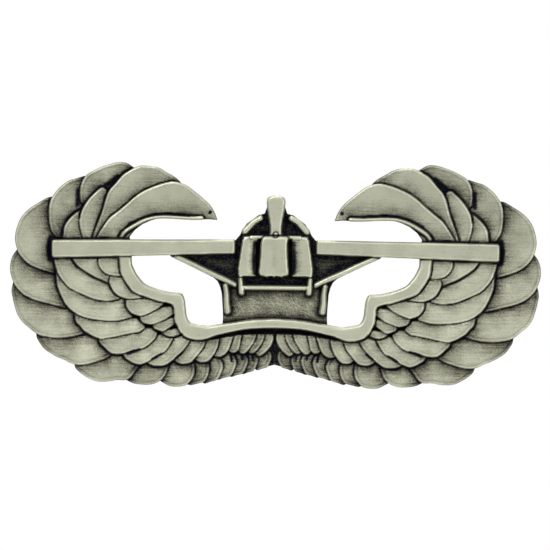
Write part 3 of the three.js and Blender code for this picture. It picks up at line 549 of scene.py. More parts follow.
class Wings:
    """The left half's elements, from the ground up."""

    def small_outer(self) -> list[tuple[Line, Line]]:
        """The small feathers that end the outer row.

        Returns:
            The free edge and the root of each.
        """
        def placed(shape: Line, x: float, z: float, size: float) -> Line:
            """One shape, scaled and moved to its corner."""
            return [(x + size * px, z + size * pz) for px, pz in shape]

        return [
            (placed(SMALL_OUTER_EDGE, x, z, size), placed(SMALL_OUTER_ROOT, x, z, size))
            for x, z, size in SMALL_OUTER
        ]

    def feathers(self) -> list[Element]:
        """Every feather of one wing.

        Returns:
            The feathers, the lowest first.
        """
        rows = [(OUTER_ROW + self.small_outer(), OUTER), (MIDDLE_ROW, MIDDLE), (INNER_ROW, INNER)]
        stack = [
            Element(strike, edge, root)
            for row, strike in rows
            for edge, root in reversed(row)
        ]
        return stack + [Element(PINION, edge, root) for edge, root in PINIONS]

    def band(self) -> Element:
        """The smooth border band round the window, which runs on past the middle.

        Returns:
            The band.
        """
        inner = [tuple(p) for p in smooth(BAND_INNER)[::-1]]
        outer = [tuple(p) for p in smooth(BAND_OUTER)]
        past = [(1.0, outer[-1][1]), (1.0, inner[0][1])]
        return Element(BAND, outer + past + inner, sharp=True)

    def glider(self) -> list[Element]:
        """The glider's elements.

        Returns:
            The elements, the lowest first.
        """
        fin = list(FIN) + mirrored(FIN)[1:]
        nose = list(NOSE) + mirrored(NOSE)[1:]
        return [
            Element(ROD, WHEEL_LEG, width=0.58, taper=0.2),
            Element(ROD, WING_STRUT, width=0.66),
            Element(ROD, TAIL_STRUT, width=0.68, taper=0.14),
            Element(FIN_STRIKE, fin),
            Element(ROOF, ROOF_EDGE, width=0.46),
            Element(FRAME_ROD, SKID_BAR, width=0.58),
            Element(FRAME_ROD, SKID_END, width=0.48, taper=0.24),
            Element(HULL, HULL_SIDE, sharp=True),
            Element(HULL, SLOT_TOP, width=0.42),
            Element(NOSE_STRIKE, nose),
        ]

    def elements(self) -> list[Element]:
        """All the elements that touch the left half.

        Returns:
            The elements, from the ground up.
        """
        return [
            Element(GROUND, WING_GROUND, sharp=True),
            Element(GROUND, GLIDER_GROUND, sharp=True),
            Element(FIELD_STRIKE, FIELD, sharp=True),
            *self.feathers(),
            Element(LIP, PINION_LIP, width=0.42),
            Element(SHADOW, BAND_SHADOW, width=0.24, taper=0.24),
            self.band(),
            *self.glider(),
            Element(PLANE, MAINPLANE, sharp=True),
        ]


@dataclass(frozen=True)
class Score:
    """A fine line, pit, smudge or painted shadow on the finished face.

    Args:
        line: where it runs.
        width: how wide its bell is, in millimetres.
        depth: how deep it goes.
        dark: how much darker it makes the face: patina in the lines and pits, painted shade on the
            slot's slope and painted shadow in the darkest gaps.
    """

    line: Line
    width: float
    depth: float
    dark: float


SCORES = [
    # The ring over the nose, the slot beside the nose, and painted shade on the slope outside the
    # slot, where the panel rolls down to it.
    Score([(0.0, 5.24), (-0.22, 5.18), (-0.32, 4.95), (-0.26, 4.66), (0.0, 4.52)], 0.09, 0.1, 0.8),
    Score([(-2.26, 0.3), (-2.34, 1.0), (-2.34, 2.6), (-2.2, 3.9)], 0.3, 0.3, 0.75),
    Score([(-2.75, 0.5), (-2.8, 1.6), (-2.8, 2.8), (-2.65, 3.8)], 0.42, 0.1, 0.3),
    # The pit at the pinion's tip, the smudge down the nose and the line along the pinion's lip.
    Score([(-7.92, 7.42), (-7.86, 7.56)], 0.15, 0.16, 0.95),
    Score([(0.0, 1.1), (0.0, 3.3)], 0.45, 0.02, 0.17),
    Score([(-17.6, 6.05), (-16.0, 6.78), (-14.6, 7.15), (-12.6, 7.2), (-10.4, 7.08)], 0.14, 0.08,
          0.5),
    # The darkest gaps between feathers: painted shadow, on top of the patina in them.
    Score([(-20.3, 10.65), (-19.0, 11.7)], 0.26, 0.1, 0.6),
    Score([(-26.95, 4.3), (-27.12, 3.2), (-26.95, 1.75)], 0.26, 0.12, 0.75),
    Score([(-17.5, -9.5), (-16.2, -8.95)], 0.17, 0.08, 0.5),
    Score([(-14.6, -10.15), (-13.6, -9.5)], 0.16, 0.08, 0.5),
    Score([(-11.7, -9.9), (-11.0, -9.25)], 0.14, 0.08, 0.5),
    Score([(-23.72, 10.0), (-23.8, 8.3)], 0.24, 0.08, 0.5),
    Score([(-5.25, -9.5), (-5.14, -10.3)], 0.11, 0.12, 0.7),
    Score([(-3.92, -9.5), (-3.84, -10.05)], 0.11, 0.12, 0.7),
    Score([(-2.62, -9.6), (-2.55, -10.15)], 0.11, 0.12, 0.7),
]


@dataclass
class ReliefGrid:
    """The badge's face on a square grid, worked out for the left half and mirrored.

    Args:
        pitch: the grid's step in millimetres.
        half_width: how far the grid reaches from the middle.
        half_height: how far it reaches up and down.
        soft: the width over which one element's edge gives way to the next.
        ease: the width that a feather's slope is eased over.
        reach: how far from an element its neighbours still feel it.
    """

    pitch: float = 0.116
    half_width: float = 32.12
    half_height: float = 13.86
    soft: float = 0.17
    ease: float = 0.35
    reach: float = 3.0

    def __post_init__(self) -> None:
        """Lays out the grid."""
        columns = round(self.half_width / self.pitch)
        rows = round(self.half_height / self.pitch)
        self.x = np.arange(-columns, 1) * self.pitch
        self.z = np.arange(-rows, rows + 1) * self.pitch
        shape = (len(self.z), len(self.x))
        self.height = np.full(shape, GROUND.low)
        self.dark = np.ones(shape)
        self.worn = np.zeros(shape)
        self.cast = np.ones(shape)
        xx, zz = np.meshgrid(self.x, self.z)
        first, second = (across * xx + up * zz for across, up in WAVES)
        self.wave = np.sin(first) * np.cos(second)
        self.solid = np.full(shape, -self.reach)

    def window(self, element: Element) -> tuple[slice, slice]:
        """The rows and columns that an element can touch.

        Args:
            element: the element.

        Returns:
            A slice of the rows and one of the columns.
        """
        low, high = element.box(self.reach)
        columns = np.searchsorted(self.x, [low[0], high[0]])
        rows = np.searchsorted(self.z, [low[1], high[1]])
        return slice(*rows), slice(*columns)

    def spots(self, window: tuple[slice, slice]) -> np.ndarray:
        """The grid's points in a window, one per row."""
        xx, zz = np.meshgrid(self.x[window[1]], self.z[window[0]])
        return np.column_stack([xx.ravel(), zz.ravel()])

    def strike(self, elements: list[Element]) -> None:
        """Works out the heights, the patina with the band's painted shadow, and the wear.

        Args:
            elements: the struck elements, from the ground up.
        """
        windows = [self.window(element) for element in elements]
        depths = []
        for element, window in zip(elements, windows):
            shape = self.height[window].shape
            depths.append(element.depth(self.spots(window)).reshape(shape))
        higher = np.full(self.height.shape, self.reach)
        beside = higher.copy()
        covers: list[np.ndarray] = []
        row = elements[-1].strike
        for element, window, depth in zip(elements[::-1], windows[::-1], depths[::-1]):
            if element.strike is not row:
                row = element.strike
                higher = np.minimum(higher, np.maximum(beside - OVERHANG, 0.0))
                beside = np.full(self.height.shape, self.reach)
            covers.append(np.minimum(higher, beside)[window])
            beside[window] = np.minimum(beside[window], np.maximum(-depth, 0.0))
            self.solid[window] = np.maximum(self.solid[window], depth)
        for element, window, depth, cover in zip(elements, windows, depths, reversed(covers)):
            self.lay(element, window, depth, cover)

    def lay(self, element: Element, window: tuple[slice, slice], depth: np.ndarray,
            cover: np.ndarray) -> None:
        """Lays one element over what is below it.

        Args:
            element: the element.
            window: its rows and columns.
            depth: signed distance inside it.
            cover: distance from whatever covers it.
        """
        edge = element.from_edge(self.spots(window), depth.ravel()).reshape(depth.shape)
        share = np.clip(0.5 + depth / self.soft, 0.0, 1.0)
        rubbed = float(element.strike.form is not Form.SUNK)
        values = (
            (self.height, element.height(edge, cover, self.ease / self.pitch)),
            (self.dark, element.patina(edge, cover, self.wave[window])),
            (self.worn, rubbed * np.exp(-((edge / WEAR_WIDTH) ** 2))),
            (self.cast, 1.0 - rubbed),
        )
        for grid, value in values:
            grid[window] += (value - grid[window]) * share

    def score(self, marks: Sequence[Score]) -> None:
        """Cuts the fine marks into the struck face.

        Args:
            marks: the marks, in any order.
        """
        spots = self.spots((slice(None), slice(None)))
        for mark in marks:
            away = distance(spots, np.asarray(mark.line, float)).reshape(self.height.shape)
            bell = np.exp(-((away / mark.width) ** 2))
            self.height -= mark.depth * bell
            self.dark = np.clip(self.dark + mark.dark * bell, 0.0, 1.0)

    def both_halves(self, grid: np.ndarray) -> np.ndarray:
        """A half grid and its mirror image, side by side."""
        return np.hstack([grid, grid[:, -2::-1]])

    def full_x(self) -> np.ndarray:
        """The columns' places over both halves."""
        return np.concatenate([self.x, -self.x[-2::-1]])


@dataclass
class ClippedSheet:
    """The part of a square grid where a level is above zero, with its edge cut smooth.

    Args:
        x: the columns' places.
        z: the rows' places.
        level: positive inside.
        fields: further values on the grid, interpolated along with the edge.
        clear: a level nearer to zero than this counts as this, so that no cut is a sliver.
    """

    x: np.ndarray
    z: np.ndarray
    level: np.ndarray
    fields: tuple[np.ndarray, ...]
    clear: float = 1e-3

    def squares(self) -> np.ndarray:
        """Every square of the grid as two triangles.

        Returns:
            The triangles' corners, a row each.
        """
        number = np.arange(self.level.size).reshape(self.level.shape)
        a, b = number[:-1, :-1].ravel(), number[:-1, 1:].ravel()
        c, d = number[1:, 1:].ravel(), number[1:, :-1].ravel()
        return np.concatenate([np.column_stack([a, b, c]), np.column_stack([a, c, d])])

    def build(self) -> tuple[np.ndarray, np.ndarray, np.ndarray]:
        """Cuts the grid.

        Returns:
            The vertices as rows of x, z and the fields; the triangles; and the rim's edges, as
            pairs of vertices in the order that the triangles use.
        """
        level = np.where(np.abs(self.level) < self.clear, self.clear, self.level).ravel()
        xx, zz = np.meshgrid(self.x, self.z)
        values = np.stack([xx, zz, *self.fields], axis=-1).reshape(level.size, -1)
        corners = self.squares()
        positive = level[corners] > 0
        whole = positive.all(axis=1)
        part = positive.any(axis=1) & ~whole
        cut, lone = self.turned(corners[part], positive[part])
        crossed = np.vstack([self.crossings(cut[:, 0], cut[:, 1]),
                             self.crossings(cut[:, 2], cut[:, 0])])
        pairs, found = np.unique(crossed, axis=0, return_inverse=True)
        first, last = (found.ravel() + level.size).reshape(2, -1)
        start, end = level[pairs[:, 0]], level[pairs[:, 1]]
        share = (start / (start - end))[:, None]
        between = values[pairs[:, 0]] * (1 - share) + values[pairs[:, 1]] * share
        triangles = np.vstack([
            corners[whole],
            np.column_stack([cut[:, 0], first, last])[lone],
            np.column_stack([first, cut[:, 1], cut[:, 2]])[~lone],
            np.column_stack([first, cut[:, 2], last])[~lone],
        ])
        rim = np.vstack([
            np.column_stack([first, last])[lone],
            np.column_stack([last, first])[~lone],
        ])
        used, renumbered = np.unique(triangles, return_inverse=True)
        renumber = np.full(level.size + len(pairs), -1)
        renumber[used] = np.arange(len(used))
        everything = np.vstack([values, between])[used]
        return everything, renumbered.reshape(-1, 3), renumber[rim]

    @staticmethod
    def turned(cut: np.ndarray, positive: np.ndarray) -> tuple[np.ndarray, np.ndarray]:
        """Turns each cut triangle so that the corner unlike the other two comes first.

        Args:
            cut: the triangles' corners.
            positive: which corners are inside.

        Returns:
            The turned triangles, and whether the first corner is the one inside.
        """
        lone = positive.sum(axis=1) == 1
        odd = np.where(lone[:, None], positive, ~positive).argmax(axis=1)
        order = (odd[:, None] + np.arange(3)) % 3
        return np.take_along_axis(cut, order, axis=1), lone

    @staticmethod
    def crossings(a: np.ndarray, b: np.ndarray) -> np.ndarray:
        """The grid edges from a to b, each named by its lower and higher number."""
        return np.column_stack([np.minimum(a, b), np.maximum(a, b)])


def triangles_within(points: np.ndarray, rim: np.ndarray) -> np.ndarray:
    """Triangles that fill the closed loops, using only the loops' own points.

    Args:
        points: the loops' points in the plane.
        rim: the loops' edges, as pairs of points.

    Returns:
        The triangles, as rows of points.
    """
    everything, nearness = 0, 1e-9
    placed, _, filled, sources, _, _ = delaunay_2d_cdt(
        [Vector(p) for p in points], rim.tolist(), [], everything, nearness)
    if len(placed) != len(points):
        raise ValueError("the back's outline crosses itself")
    spots = np.array([tuple(p) for p in placed])
    origin = np.array([source[0] for source in sources])
    triangles = np.array(filled)
    edges = spots[np.argsort(origin)[rim]]
    hit = inside(spots[triangles].mean(axis=1), edges[:, 0], edges[:, 1])
    return origin[triangles[hit]]


# ---------------------------------------------------------------- finishes
@dataclass
class NodeTree:
    """A small helper that adds and links shader nodes.

    Args:
        material: the material that the nodes belong to.
    """

    material: bpy.types.Material

    def __post_init__(self) -> None:
        """Starts from the material's own Principled shader."""
        self.material.use_nodes = True
        self.tree = self.material.node_tree
        self.shader = next(n for n in self.tree.nodes if n.type == "BSDF_PRINCIPLED")

    def add(self, kind: str, **settings: object) -> bpy.types.Node:
        """Adds a node.

        Args:
            kind: the node's type name.
            settings: properties of the node to set.

        Returns:
            The node.
        """
        node = self.tree.nodes.new(kind)
        for name, value in settings.items():
            setattr(node, name, value)
        return node

    def link(self, output: Socket, target: Socket) -> None:
        """Links an output to an input."""
        self.tree.links.new(output, target)

    def attribute(self, name: str) -> Socket:
        """The value that the mesh holds under a name."""
        return self.add("ShaderNodeAttribute", attribute_name=name).outputs["Fac"]

    def place(self, grain: Triple, turn: float = 0.0) -> Socket:
        """Object coordinates, turned about Y and then stretched.

        Args:
            grain: how many times each axis is stretched, per metre.
            turn: the turn in degrees.

        Returns:
            The coordinates.
        """
        mapping = self.add("ShaderNodeMapping", vector_type="TEXTURE")
        mapping.inputs["Rotation"].default_value = (0.0, math.radians(turn), 0.0)
        mapping.inputs["Scale"].default_value = tuple(1.0 / s for s in grain)
        self.link(self.add("ShaderNodeTexCoord").outputs["Object"], mapping.inputs["Vector"])
        return mapping.outputs["Vector"]

    def noise(self, grain: Triple, detail: float = 3.0, turn: float = 0.0) -> Socket:
        """Noise with a grain of its own along each axis.

        Args:
            grain: how many lumps there are along each axis, per metre.
            detail: how many finer layers it has.
            turn: how far the axes are turned about Y, in degrees.

        Returns:
            The noise, around 0.5.
        """
        node = self.add("ShaderNodeTexNoise")
        node.inputs["Scale"].default_value = 1.0
        node.inputs["Detail"].default_value = detail
        self.link(self.place(grain, turn), node.inputs["Vector"])
        return node.outputs["Fac"]

    def spots(self, grain: float, size: float) -> Socket:
        """Small round spots.

        Args:
            grain: how many cells per metre hold a spot.
            size: a spot's radius in cells.

        Returns:
            1 in a spot's middle and 0 away from it.
        """
        node = self.add("ShaderNodeTexVoronoi")
        node.inputs["Scale"].default_value = 1.0
        self.link(self.place((grain, grain, grain)), node.inputs["Vector"])
        return self.ranged(node.outputs["Distance"], size, 0.0, 0.0, 1.0)

    def ranged(self, value: Socket, low: float, high: float, to_low: float,
               to_high: float) -> Socket:
        """A value brought from one range to another, and kept in it.

        Args:
            value: the value.
            low: the start of its own range.
            high: the end of its own range.
            to_low: what the start becomes.
            to_high: what the end becomes.

        Returns:
            The new value.
        """
        node = self.add("ShaderNodeMapRange")
        for key, number in zip(("From Min", "From Max", "To Min", "To Max"),
                               (low, high, to_low, to_high)):
            node.inputs[key].default_value = number
        self.link(value, node.inputs["Value"])
        return node.outputs["Result"]

    def maths(self, how: str, first: Socket | float, second: Socket | float) -> Socket:
        """One sum of two values.

        Args:
            how: the sum's name.
            first: a number or an output.
            second: a number or an output.

        Returns:
            The result.
        """
        node = self.add("ShaderNodeMath", operation=how)
        for socket, value in zip(node.inputs, (first, second)):
            if isinstance(value, (int, float)):
                socket.default_value = value
            else:
                self.link(value, socket)
        return node.outputs["Value"]

    def swing(self, noise: Socket, amount: float) -> Socket:
        """A noise brought round 0 and scaled."""
        return self.maths("MULTIPLY", self.maths("SUBTRACT", noise, 0.5), amount)

    def mix(self, share: Socket, first: Socket | Colour, second: Socket | Colour) -> Socket:
        """Two colours mixed.

        Args:
            share: how much of the second one shows.
            first: an output or a plain colour.
            second: an output or a plain colour.

        Returns:
            The mixed colour.
        """
        node = self.add("ShaderNodeMix", data_type="RGBA")
        self.link(share, node.inputs["Factor"])
        for socket, value in ((node.inputs[6], first), (node.inputs[7], second)):
            if isinstance(value, tuple):
                socket.default_value = (*value, 1.0)
            else:
                self.link(value, socket)
        return node.outputs[2]

    def bump(self, height: Socket, strength: float, depth: float) -> None:
        """Turns a height into the shader's normal.

        Args:
            height: the height, from 0 to 1.
            strength: how much of it is felt.
            depth: what 1 stands for, in metres.
        """
        node = self.add("ShaderNodeBump")
        node.inputs["Strength"].default_value = strength
        node.inputs["Distance"].default_value = depth
        self.link(height, node.inputs["Height"])
        self.link(node.outputs["Normal"], self.shader.inputs["Normal"])


def scaled(colour: Colour, share: float) -> Colour:
    """A colour made darker or lighter by a share."""
    return tuple(share * c for c in colour)


@dataclass(frozen=True)
class AntiqueSilver:
    """Satin silver plate whose patina has stayed in every crease.

    Args:
        bright: the rubbed edges.
        face: the open satin surface.
        stain: where the patina thins out, and the lighter painted shade.
        black: the patina itself, and the painted shadows.
        stroke: grain of the satin brushing, per metre along each axis.
        scratches: grain and turn in degrees of the two sets of scratches.
        cloud: grain of the slow stains.
        fine: grain of the finest mottling.
        pit: grain of the pits, and their size in cells.
        pebble: grain of the cast ground's pebbles, and their size in cells.
        swings: how much the strokes, the mottling and the stains break the patina up.
        worn: how much of the rubbed colour shows at an edge.
        scraped: how much patina a scratch takes off.
        sheen: the roughness along the smoothest and the roughest strokes.
        dull: what the patina adds to it.
        relief: how strongly the fine relief is felt, and its depth in metres.
    """

    bright: Colour = (0.74, 0.76, 0.60)
    face: Colour = (0.45, 0.46, 0.355)
    stain: Colour = (0.11, 0.105, 0.075)
    black: Colour = (0.006, 0.007, 0.014)
    stroke: Triple = (260.0, 2500.0, 5200.0)
    scratches: tuple[tuple[Triple, float], ...] = (
        ((600.0, 3000.0, 9500.0), 28.0), ((800.0, 3000.0, 9500.0), 62.0))
    cloud: Triple = (420.0, 420.0, 420.0)
    fine: Triple = (9000.0, 9000.0, 9000.0)
    pit: Point = (1300.0, 0.16)
    pebble: Point = (4200.0, 0.5)
    swings: Triple = (0.36, 0.75, 0.5)
    worn: float = 0.6
    scraped: float = 0.3
    sheen: Point = (0.42, 0.56)
    dull: float = 0.25
    relief: Point = (0.35, 0.00006)

    def material(self) -> bpy.types.Material:
        """Makes the material.

        Returns:
            The material.
        """
        nodes = NodeTree(bpy.data.materials.new("antique_silver"))
        strokes = nodes.noise(self.stroke, 4.0)
        cloud = nodes.noise(self.cloud, 3.0)
        grain = nodes.noise(self.fine, 2.0)
        pits = nodes.spots(*self.pit)
        cast = nodes.attribute("cast")
        pebbles = nodes.maths("MULTIPLY", nodes.spots(*self.pebble), cast)
        dark = self.patina(nodes, cast, (strokes, grain, cloud))
        colour = self.colour(nodes, dark, cloud)
        for share, spots in ((0.8, pebbles), (0.5, pits)):
            colour = nodes.mix(nodes.maths("MULTIPLY", spots, share), colour, self.stain)
        nodes.link(colour, nodes.shader.inputs["Base Color"])
        nodes.shader.inputs["Metallic"].default_value = 1.0
        rough = nodes.maths("ADD", nodes.ranged(strokes, 0.3, 0.7, *self.sheen),
                            nodes.ranged(dark, 0.1, 0.8, 0.0, self.dull))
        nodes.link(rough, nodes.shader.inputs["Roughness"])
        relief = nodes.maths("ADD", nodes.maths("MULTIPLY", strokes, 0.6),
                             nodes.maths("MULTIPLY", grain, 0.4))
        relief = nodes.maths("SUBTRACT", relief, nodes.maths("MULTIPLY", pits, 0.6))
        nodes.bump(nodes.maths("ADD", relief, pebbles), *self.relief)
        return nodes.material

    def patina(self, nodes: NodeTree, cast: Socket, loose: tuple[Socket, Socket, Socket]) -> Socket:
        """The mesh's patina and painted shade, broken up and scratched through.

        Args:
            nodes: where the nodes go.
            cast: how much of the cast skin is left.
            loose: the noises that break the patina up: strokes, mottling and stains.

        Returns:
            How dark the metal is, from 0 to 1.
        """
        # The patina, with the painted shadow and shade that the grid struck in.
        dark = nodes.attribute("patina")
        first, second, third = (nodes.swing(*pair) for pair in zip(loose, self.swings))
        broken = nodes.maths("ADD", nodes.maths("ADD", first, second), third)
        broken = nodes.maths("MULTIPLY", broken, nodes.ranged(dark, 0.0, 0.3, 0.3, 1.0))
        lines = [nodes.noise(grain, 3.0, turn) for grain, turn in self.scratches]
        scratches = nodes.ranged(nodes.maths("MAXIMUM", *lines), 0.58, 0.68, 0.0, 1.0)
        scraped = nodes.maths("MULTIPLY", nodes.maths("MULTIPLY", scratches, cast),
                              nodes.ranged(dark, 0.5, 0.85, -self.scraped, 0.0))
        return nodes.maths("ADD", nodes.maths("ADD", dark, broken), scraped)

    def colour(self, nodes: NodeTree, dark: Socket, cloud: Socket) -> Socket:
        """The metal's colour, from its rubbed edges to its black creases.

        Args:
            nodes: where the nodes go.
            dark: how dark the metal is.
            cloud: the slow stains.

        Returns:
            The colour.
        """
        face = nodes.mix(nodes.ranged(cloud, 0.3, 0.7, 0.0, 1.0), self.face,
                         scaled(self.face, 0.88))
        worn = nodes.maths("MULTIPLY", nodes.attribute("wear"), self.worn)
        lit = nodes.mix(worn, face, self.bright)
        colour = nodes.mix(nodes.ranged(dark, 0.08, 0.62, 0.0, 1.0), lit, self.stain)
        return nodes.mix(nodes.ranged(dark, 0.5, 0.9, 0.0, 1.0), colour, self.black)


@dataclass(frozen=True)
class StampedMetal:
    """Plain stamped or plated metal with fine drawing lines, scratches and a little tarnish.

    Args:
        slot: the material slot, which also names the material.
        colour: the clean metal.
        tarnish: where it has dulled.
        roughness: the clean metal's roughness.
        dulled: how much of the surface the tarnish takes, from 0 to 1.
        cloud: grain of the tarnish, per metre along each axis.
        drawn: grain of the drawing lines.
        scratch: grain of the scratches.
        scratch_turn: their turn in degrees.
        speck: grain of the dark specks, and their size in cells.
        rougher: what the tarnish and what the scratches add to the roughness.
        relief: how strongly the fine relief is felt, and its depth in metres.
    """

    slot: str
    colour: Colour
    tarnish: Colour
    roughness: float = 0.25
    dulled: float = 0.6
    cloud: Triple = (420.0, 420.0, 420.0)
    drawn: Triple = (500.0, 9000.0, 500.0)
    scratch: Triple = (900.0, 2500.0, 7000.0)
    scratch_turn: float = 35.0
    speck: Point = (1100.0, 0.15)
    rougher: Point = (0.2, 0.15)
    relief: Point = (0.25, 0.00003)

    def material(self) -> bpy.types.Material:
        """Makes the material.

        Returns:
            The material.
        """
        nodes = NodeTree(bpy.data.materials.new(self.slot))
        cloud = nodes.noise(self.cloud, 4.0)
        lines = nodes.noise(self.drawn, 3.0)
        scratches = nodes.noise(self.scratch, 3.0, self.scratch_turn)
        scratches = nodes.ranged(scratches, 0.6, 0.72, 0.0, 1.0)
        specks = nodes.spots(*self.speck)
        stain = nodes.ranged(cloud, 0.4, 0.72, 0.0, self.dulled)
        colour = nodes.mix(stain, self.colour, self.tarnish)
        colour = nodes.mix(nodes.maths("MULTIPLY", specks, 0.6), colour, scaled(self.tarnish, 0.4))
        nodes.link(colour, nodes.shader.inputs["Base Color"])
        nodes.shader.inputs["Metallic"].default_value = 1.0
        by_tarnish, by_scratch = self.rougher
        dull = nodes.ranged(cloud, 0.4, 0.8, self.roughness, self.roughness + by_tarnish)
        nodes.link(nodes.maths("ADD", dull, nodes.maths("MULTIPLY", scratches, by_scratch)),
                   nodes.shader.inputs["Roughness"])
        relief = nodes.maths("SUBTRACT", nodes.maths("MULTIPLY", lines, 0.5), scratches)
        nodes.bump(nodes.maths("SUBTRACT", relief, specks), *self.relief)
        return nodes.material


NICKEL = StampedMetal("nickel", (0.62, 0.60, 0.55), (0.35, 0.33, 0.29), 0.28)
SOLDER = StampedMetal("solder", (0.42, 0.42, 0.41), (0.20, 0.20, 0.20), 0.45, 0.9)
CLUTCH_BRASS = StampedMetal("clutch_brass", (0.62, 0.44, 0.17), (0.30, 0.19, 0.07), 0.24)
SPRING_BRASS = StampedMetal("spring_brass", (0.52, 0.34, 0.12), (0.24, 0.14, 0.05), 0.28)


# ---------------------------------------------------------------- pieces
def mesh_object(name: str, points: np.ndarray, faces: Sequence[Sequence[int]],
                material: bpy.types.Material) -> bpy.types.Object:
    """Makes an object from points and faces.

    Args:
        name: the piece's name.
        points: its vertices in metres.
        faces: its faces.
        material: its finish.

    Returns:
        The object, smooth shaded.
    """
    mesh = bpy.data.meshes.new(name)
    mesh.from_pydata(points.tolist(), [], [list(map(int, f)) for f in faces])
    mesh.polygons.foreach_set("use_smooth", [True] * len(mesh.polygons))
    mesh.materials.append(material)
    mesh.update()
    piece = bpy.data.objects.new(name, mesh)
    bpy.context.collection.objects.link(piece)
    return piece


@dataclass
class BadgePlate:
    """The struck plate.

    Args:
        finish: its material.
        grid: its face.
        back: the patina, the wear and the cast skin on its back.
        nose_shift: how far the nose and the slots sit off the middle, in millimetres.
        nose_half: half the width of the part that is shifted, in millimetres.
        nose_rise: its foot and its top, in millimetres.
        fade: how far in from its sides and its ends the shift reaches its full size.
    """

    finish: bpy.types.Material
    grid: ReliefGrid = field(default_factory=ReliefGrid)
    back: Triple = (0.22, 0.0, 0.25)
    nose_shift: float = 0.2
    nose_half: float = 3.6
    nose_rise: Point = (-0.9, 4.7)
    fade: Point = (1.2, 0.8)

    def face(self) -> ClippedSheet:
        """Strikes the face of both halves.

        Returns:
            The sheet to cut out, with its height, its patina and painted shade, its wear and its
            cast skin.
        """
        grid = self.grid
        grid.strike(Wings().elements())
        grid.score(SCORES)
        layers = (grid.height, grid.dark, grid.worn, grid.cast)
        return ClippedSheet(grid.full_x(), grid.z, grid.both_halves(grid.solid),
                            tuple(grid.both_halves(layer) for layer in layers))

    def build(self) -> bpy.types.Object:
        """Cuts out the struck face and closes it with a wall and a flat back.

        Returns:
            The plate.
        """
        values, face, rim = self.face().build()
        values[:, 0] += self.off_centre(values[:, 0], values[:, 1])
        x, z, height = values.T[:3]
        edge, local = np.unique(rim, return_inverse=True)
        local = local.reshape(-1, 2)
        front = np.column_stack([x, -height, z]) * MM
        back = np.column_stack([x[edge], np.zeros(len(edge)), z[edge]]) * MM
        behind = local + len(front)
        wall = np.column_stack([rim[:, 1], rim[:, 0], behind[:, 0], behind[:, 1]])
        flat = triangles_within(values[edge, :2], local)[:, ::-1] + len(front)
        piece = mesh_object("struck_badge", np.vstack([front, back]), [*face, *wall, *flat],
                            self.finish)
        self.dress(piece, np.vstack([values[:, 3:], np.tile(self.back, (len(edge), 1))]))
        self.crisp_back(piece, len(front))
        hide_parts("badge_plate")
        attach(piece, "badge")
        return piece

    def off_centre(self, x: np.ndarray, z: np.ndarray) -> np.ndarray:
        """Moves the nose and the slots to one side of the hull, as the die has them.

        Args:
            x: how far across each point is, in millimetres.
            z: how high it is.

        Returns:
            How far each point moves.
        """
        foot, top = self.nose_rise
        across = np.clip((self.nose_half - np.abs(x)) / self.fade[0], 0.0, 1.0)
        up = np.clip(np.minimum(z - foot, top - z) / self.fade[1], 0.0, 1.0)
        return -self.nose_shift * across * up

    @staticmethod
    def dress(piece: bpy.types.Object, values: np.ndarray) -> None:
        """Stores the patina with its painted shade, the wear and the cast skin on the mesh.

        Args:
            piece: the plate.
            values: a column for each, a row for each vertex.
        """
        for name, column in zip(("patina", "wear", "cast"), values.T):
            layer = piece.data.attributes.new(name, "FLOAT", "POINT")
            layer.data.foreach_set("value", column.astype(np.float32))

    @staticmethod
    def crisp_back(piece: bpy.types.Object, first_back: int) -> None:
        """Marks the edges of the flat back as sharp.

        Args:
            piece: the plate.
            first_back: the first vertex of the back.
        """
        mesh = piece.data
        ends = np.empty(2 * len(mesh.edges), np.int32)
        mesh.edges.foreach_get("vertices", ends)
        sharp = (ends.reshape(-1, 2) >= first_back).all(axis=1)
        mesh.edges.foreach_set("use_edge_sharp", sharp)


# ---------------------------------------------------------------- the fittings on the back
class Side(Enum):
    """Which side of the badge a fitting is on, seen from the front."""

    LEFT = -1
    RIGHT = 1


Shape = tuple[np.ndarray, list[list[int]]]
WELD = 5  # points that agree to so many decimal places of a millimetre are one
CORNER_SHARE = 0.45  # a corner's round takes up at most this share of a side
LOBES = ((3, 0.6, 1.0), (7, 2.0, 0.6))  # an edge's waver: waves to the turn, start, size
CUT_EDGE = (50.0, 0.0, -50.0)  # where a sheet's rounded cut edge has its rings, in degrees


def rounded(points: Line, radius: float, closed: bool, steps: int = 4) -> np.ndarray:
    """A line of straight pieces with its corners rounded off.

    Args:
        points: the corners.
        radius: how far from a corner its round begins, where the sides are long enough.
        closed: whether the last point joins the first.
        steps: how many steps each round gets.

    Returns:
        The line's points, one per row.
    """
    p = np.asarray(points, float)
    t = np.linspace(0.0, 1.0, steps + 1)[:, None]
    made = []
    for k, here in enumerate(p):
        if not closed and k in (0, len(p) - 1):
            made.append(here[None])
            continue
        back, ahead = p[k - 1] - here, p[(k + 1) % len(p)] - here
        sides = np.linalg.norm([back, ahead], axis=1)
        cut = min(radius, CORNER_SHARE * sides.min())
        start, end = here + back * cut / sides[0], here + ahead * cut / sides[1]
        made.append((1 - t) ** 2 * start + 2 * t * (1 - t) * here + t**2 * end)
    return np.vstack(made)


def merged(points: np.ndarray) -> tuple[np.ndarray, np.ndarray]:
    """Finds the points that lie in one place.

    Args:
        points: points in millimetres, one per row.

    Returns:
        The first point of each place, and the place that each point is in.
    """
    _, first, name = np.unique(np.round(points, WELD) + 0.0, axis=0, return_index=True,
                               return_inverse=True)
    return first, name.ravel()


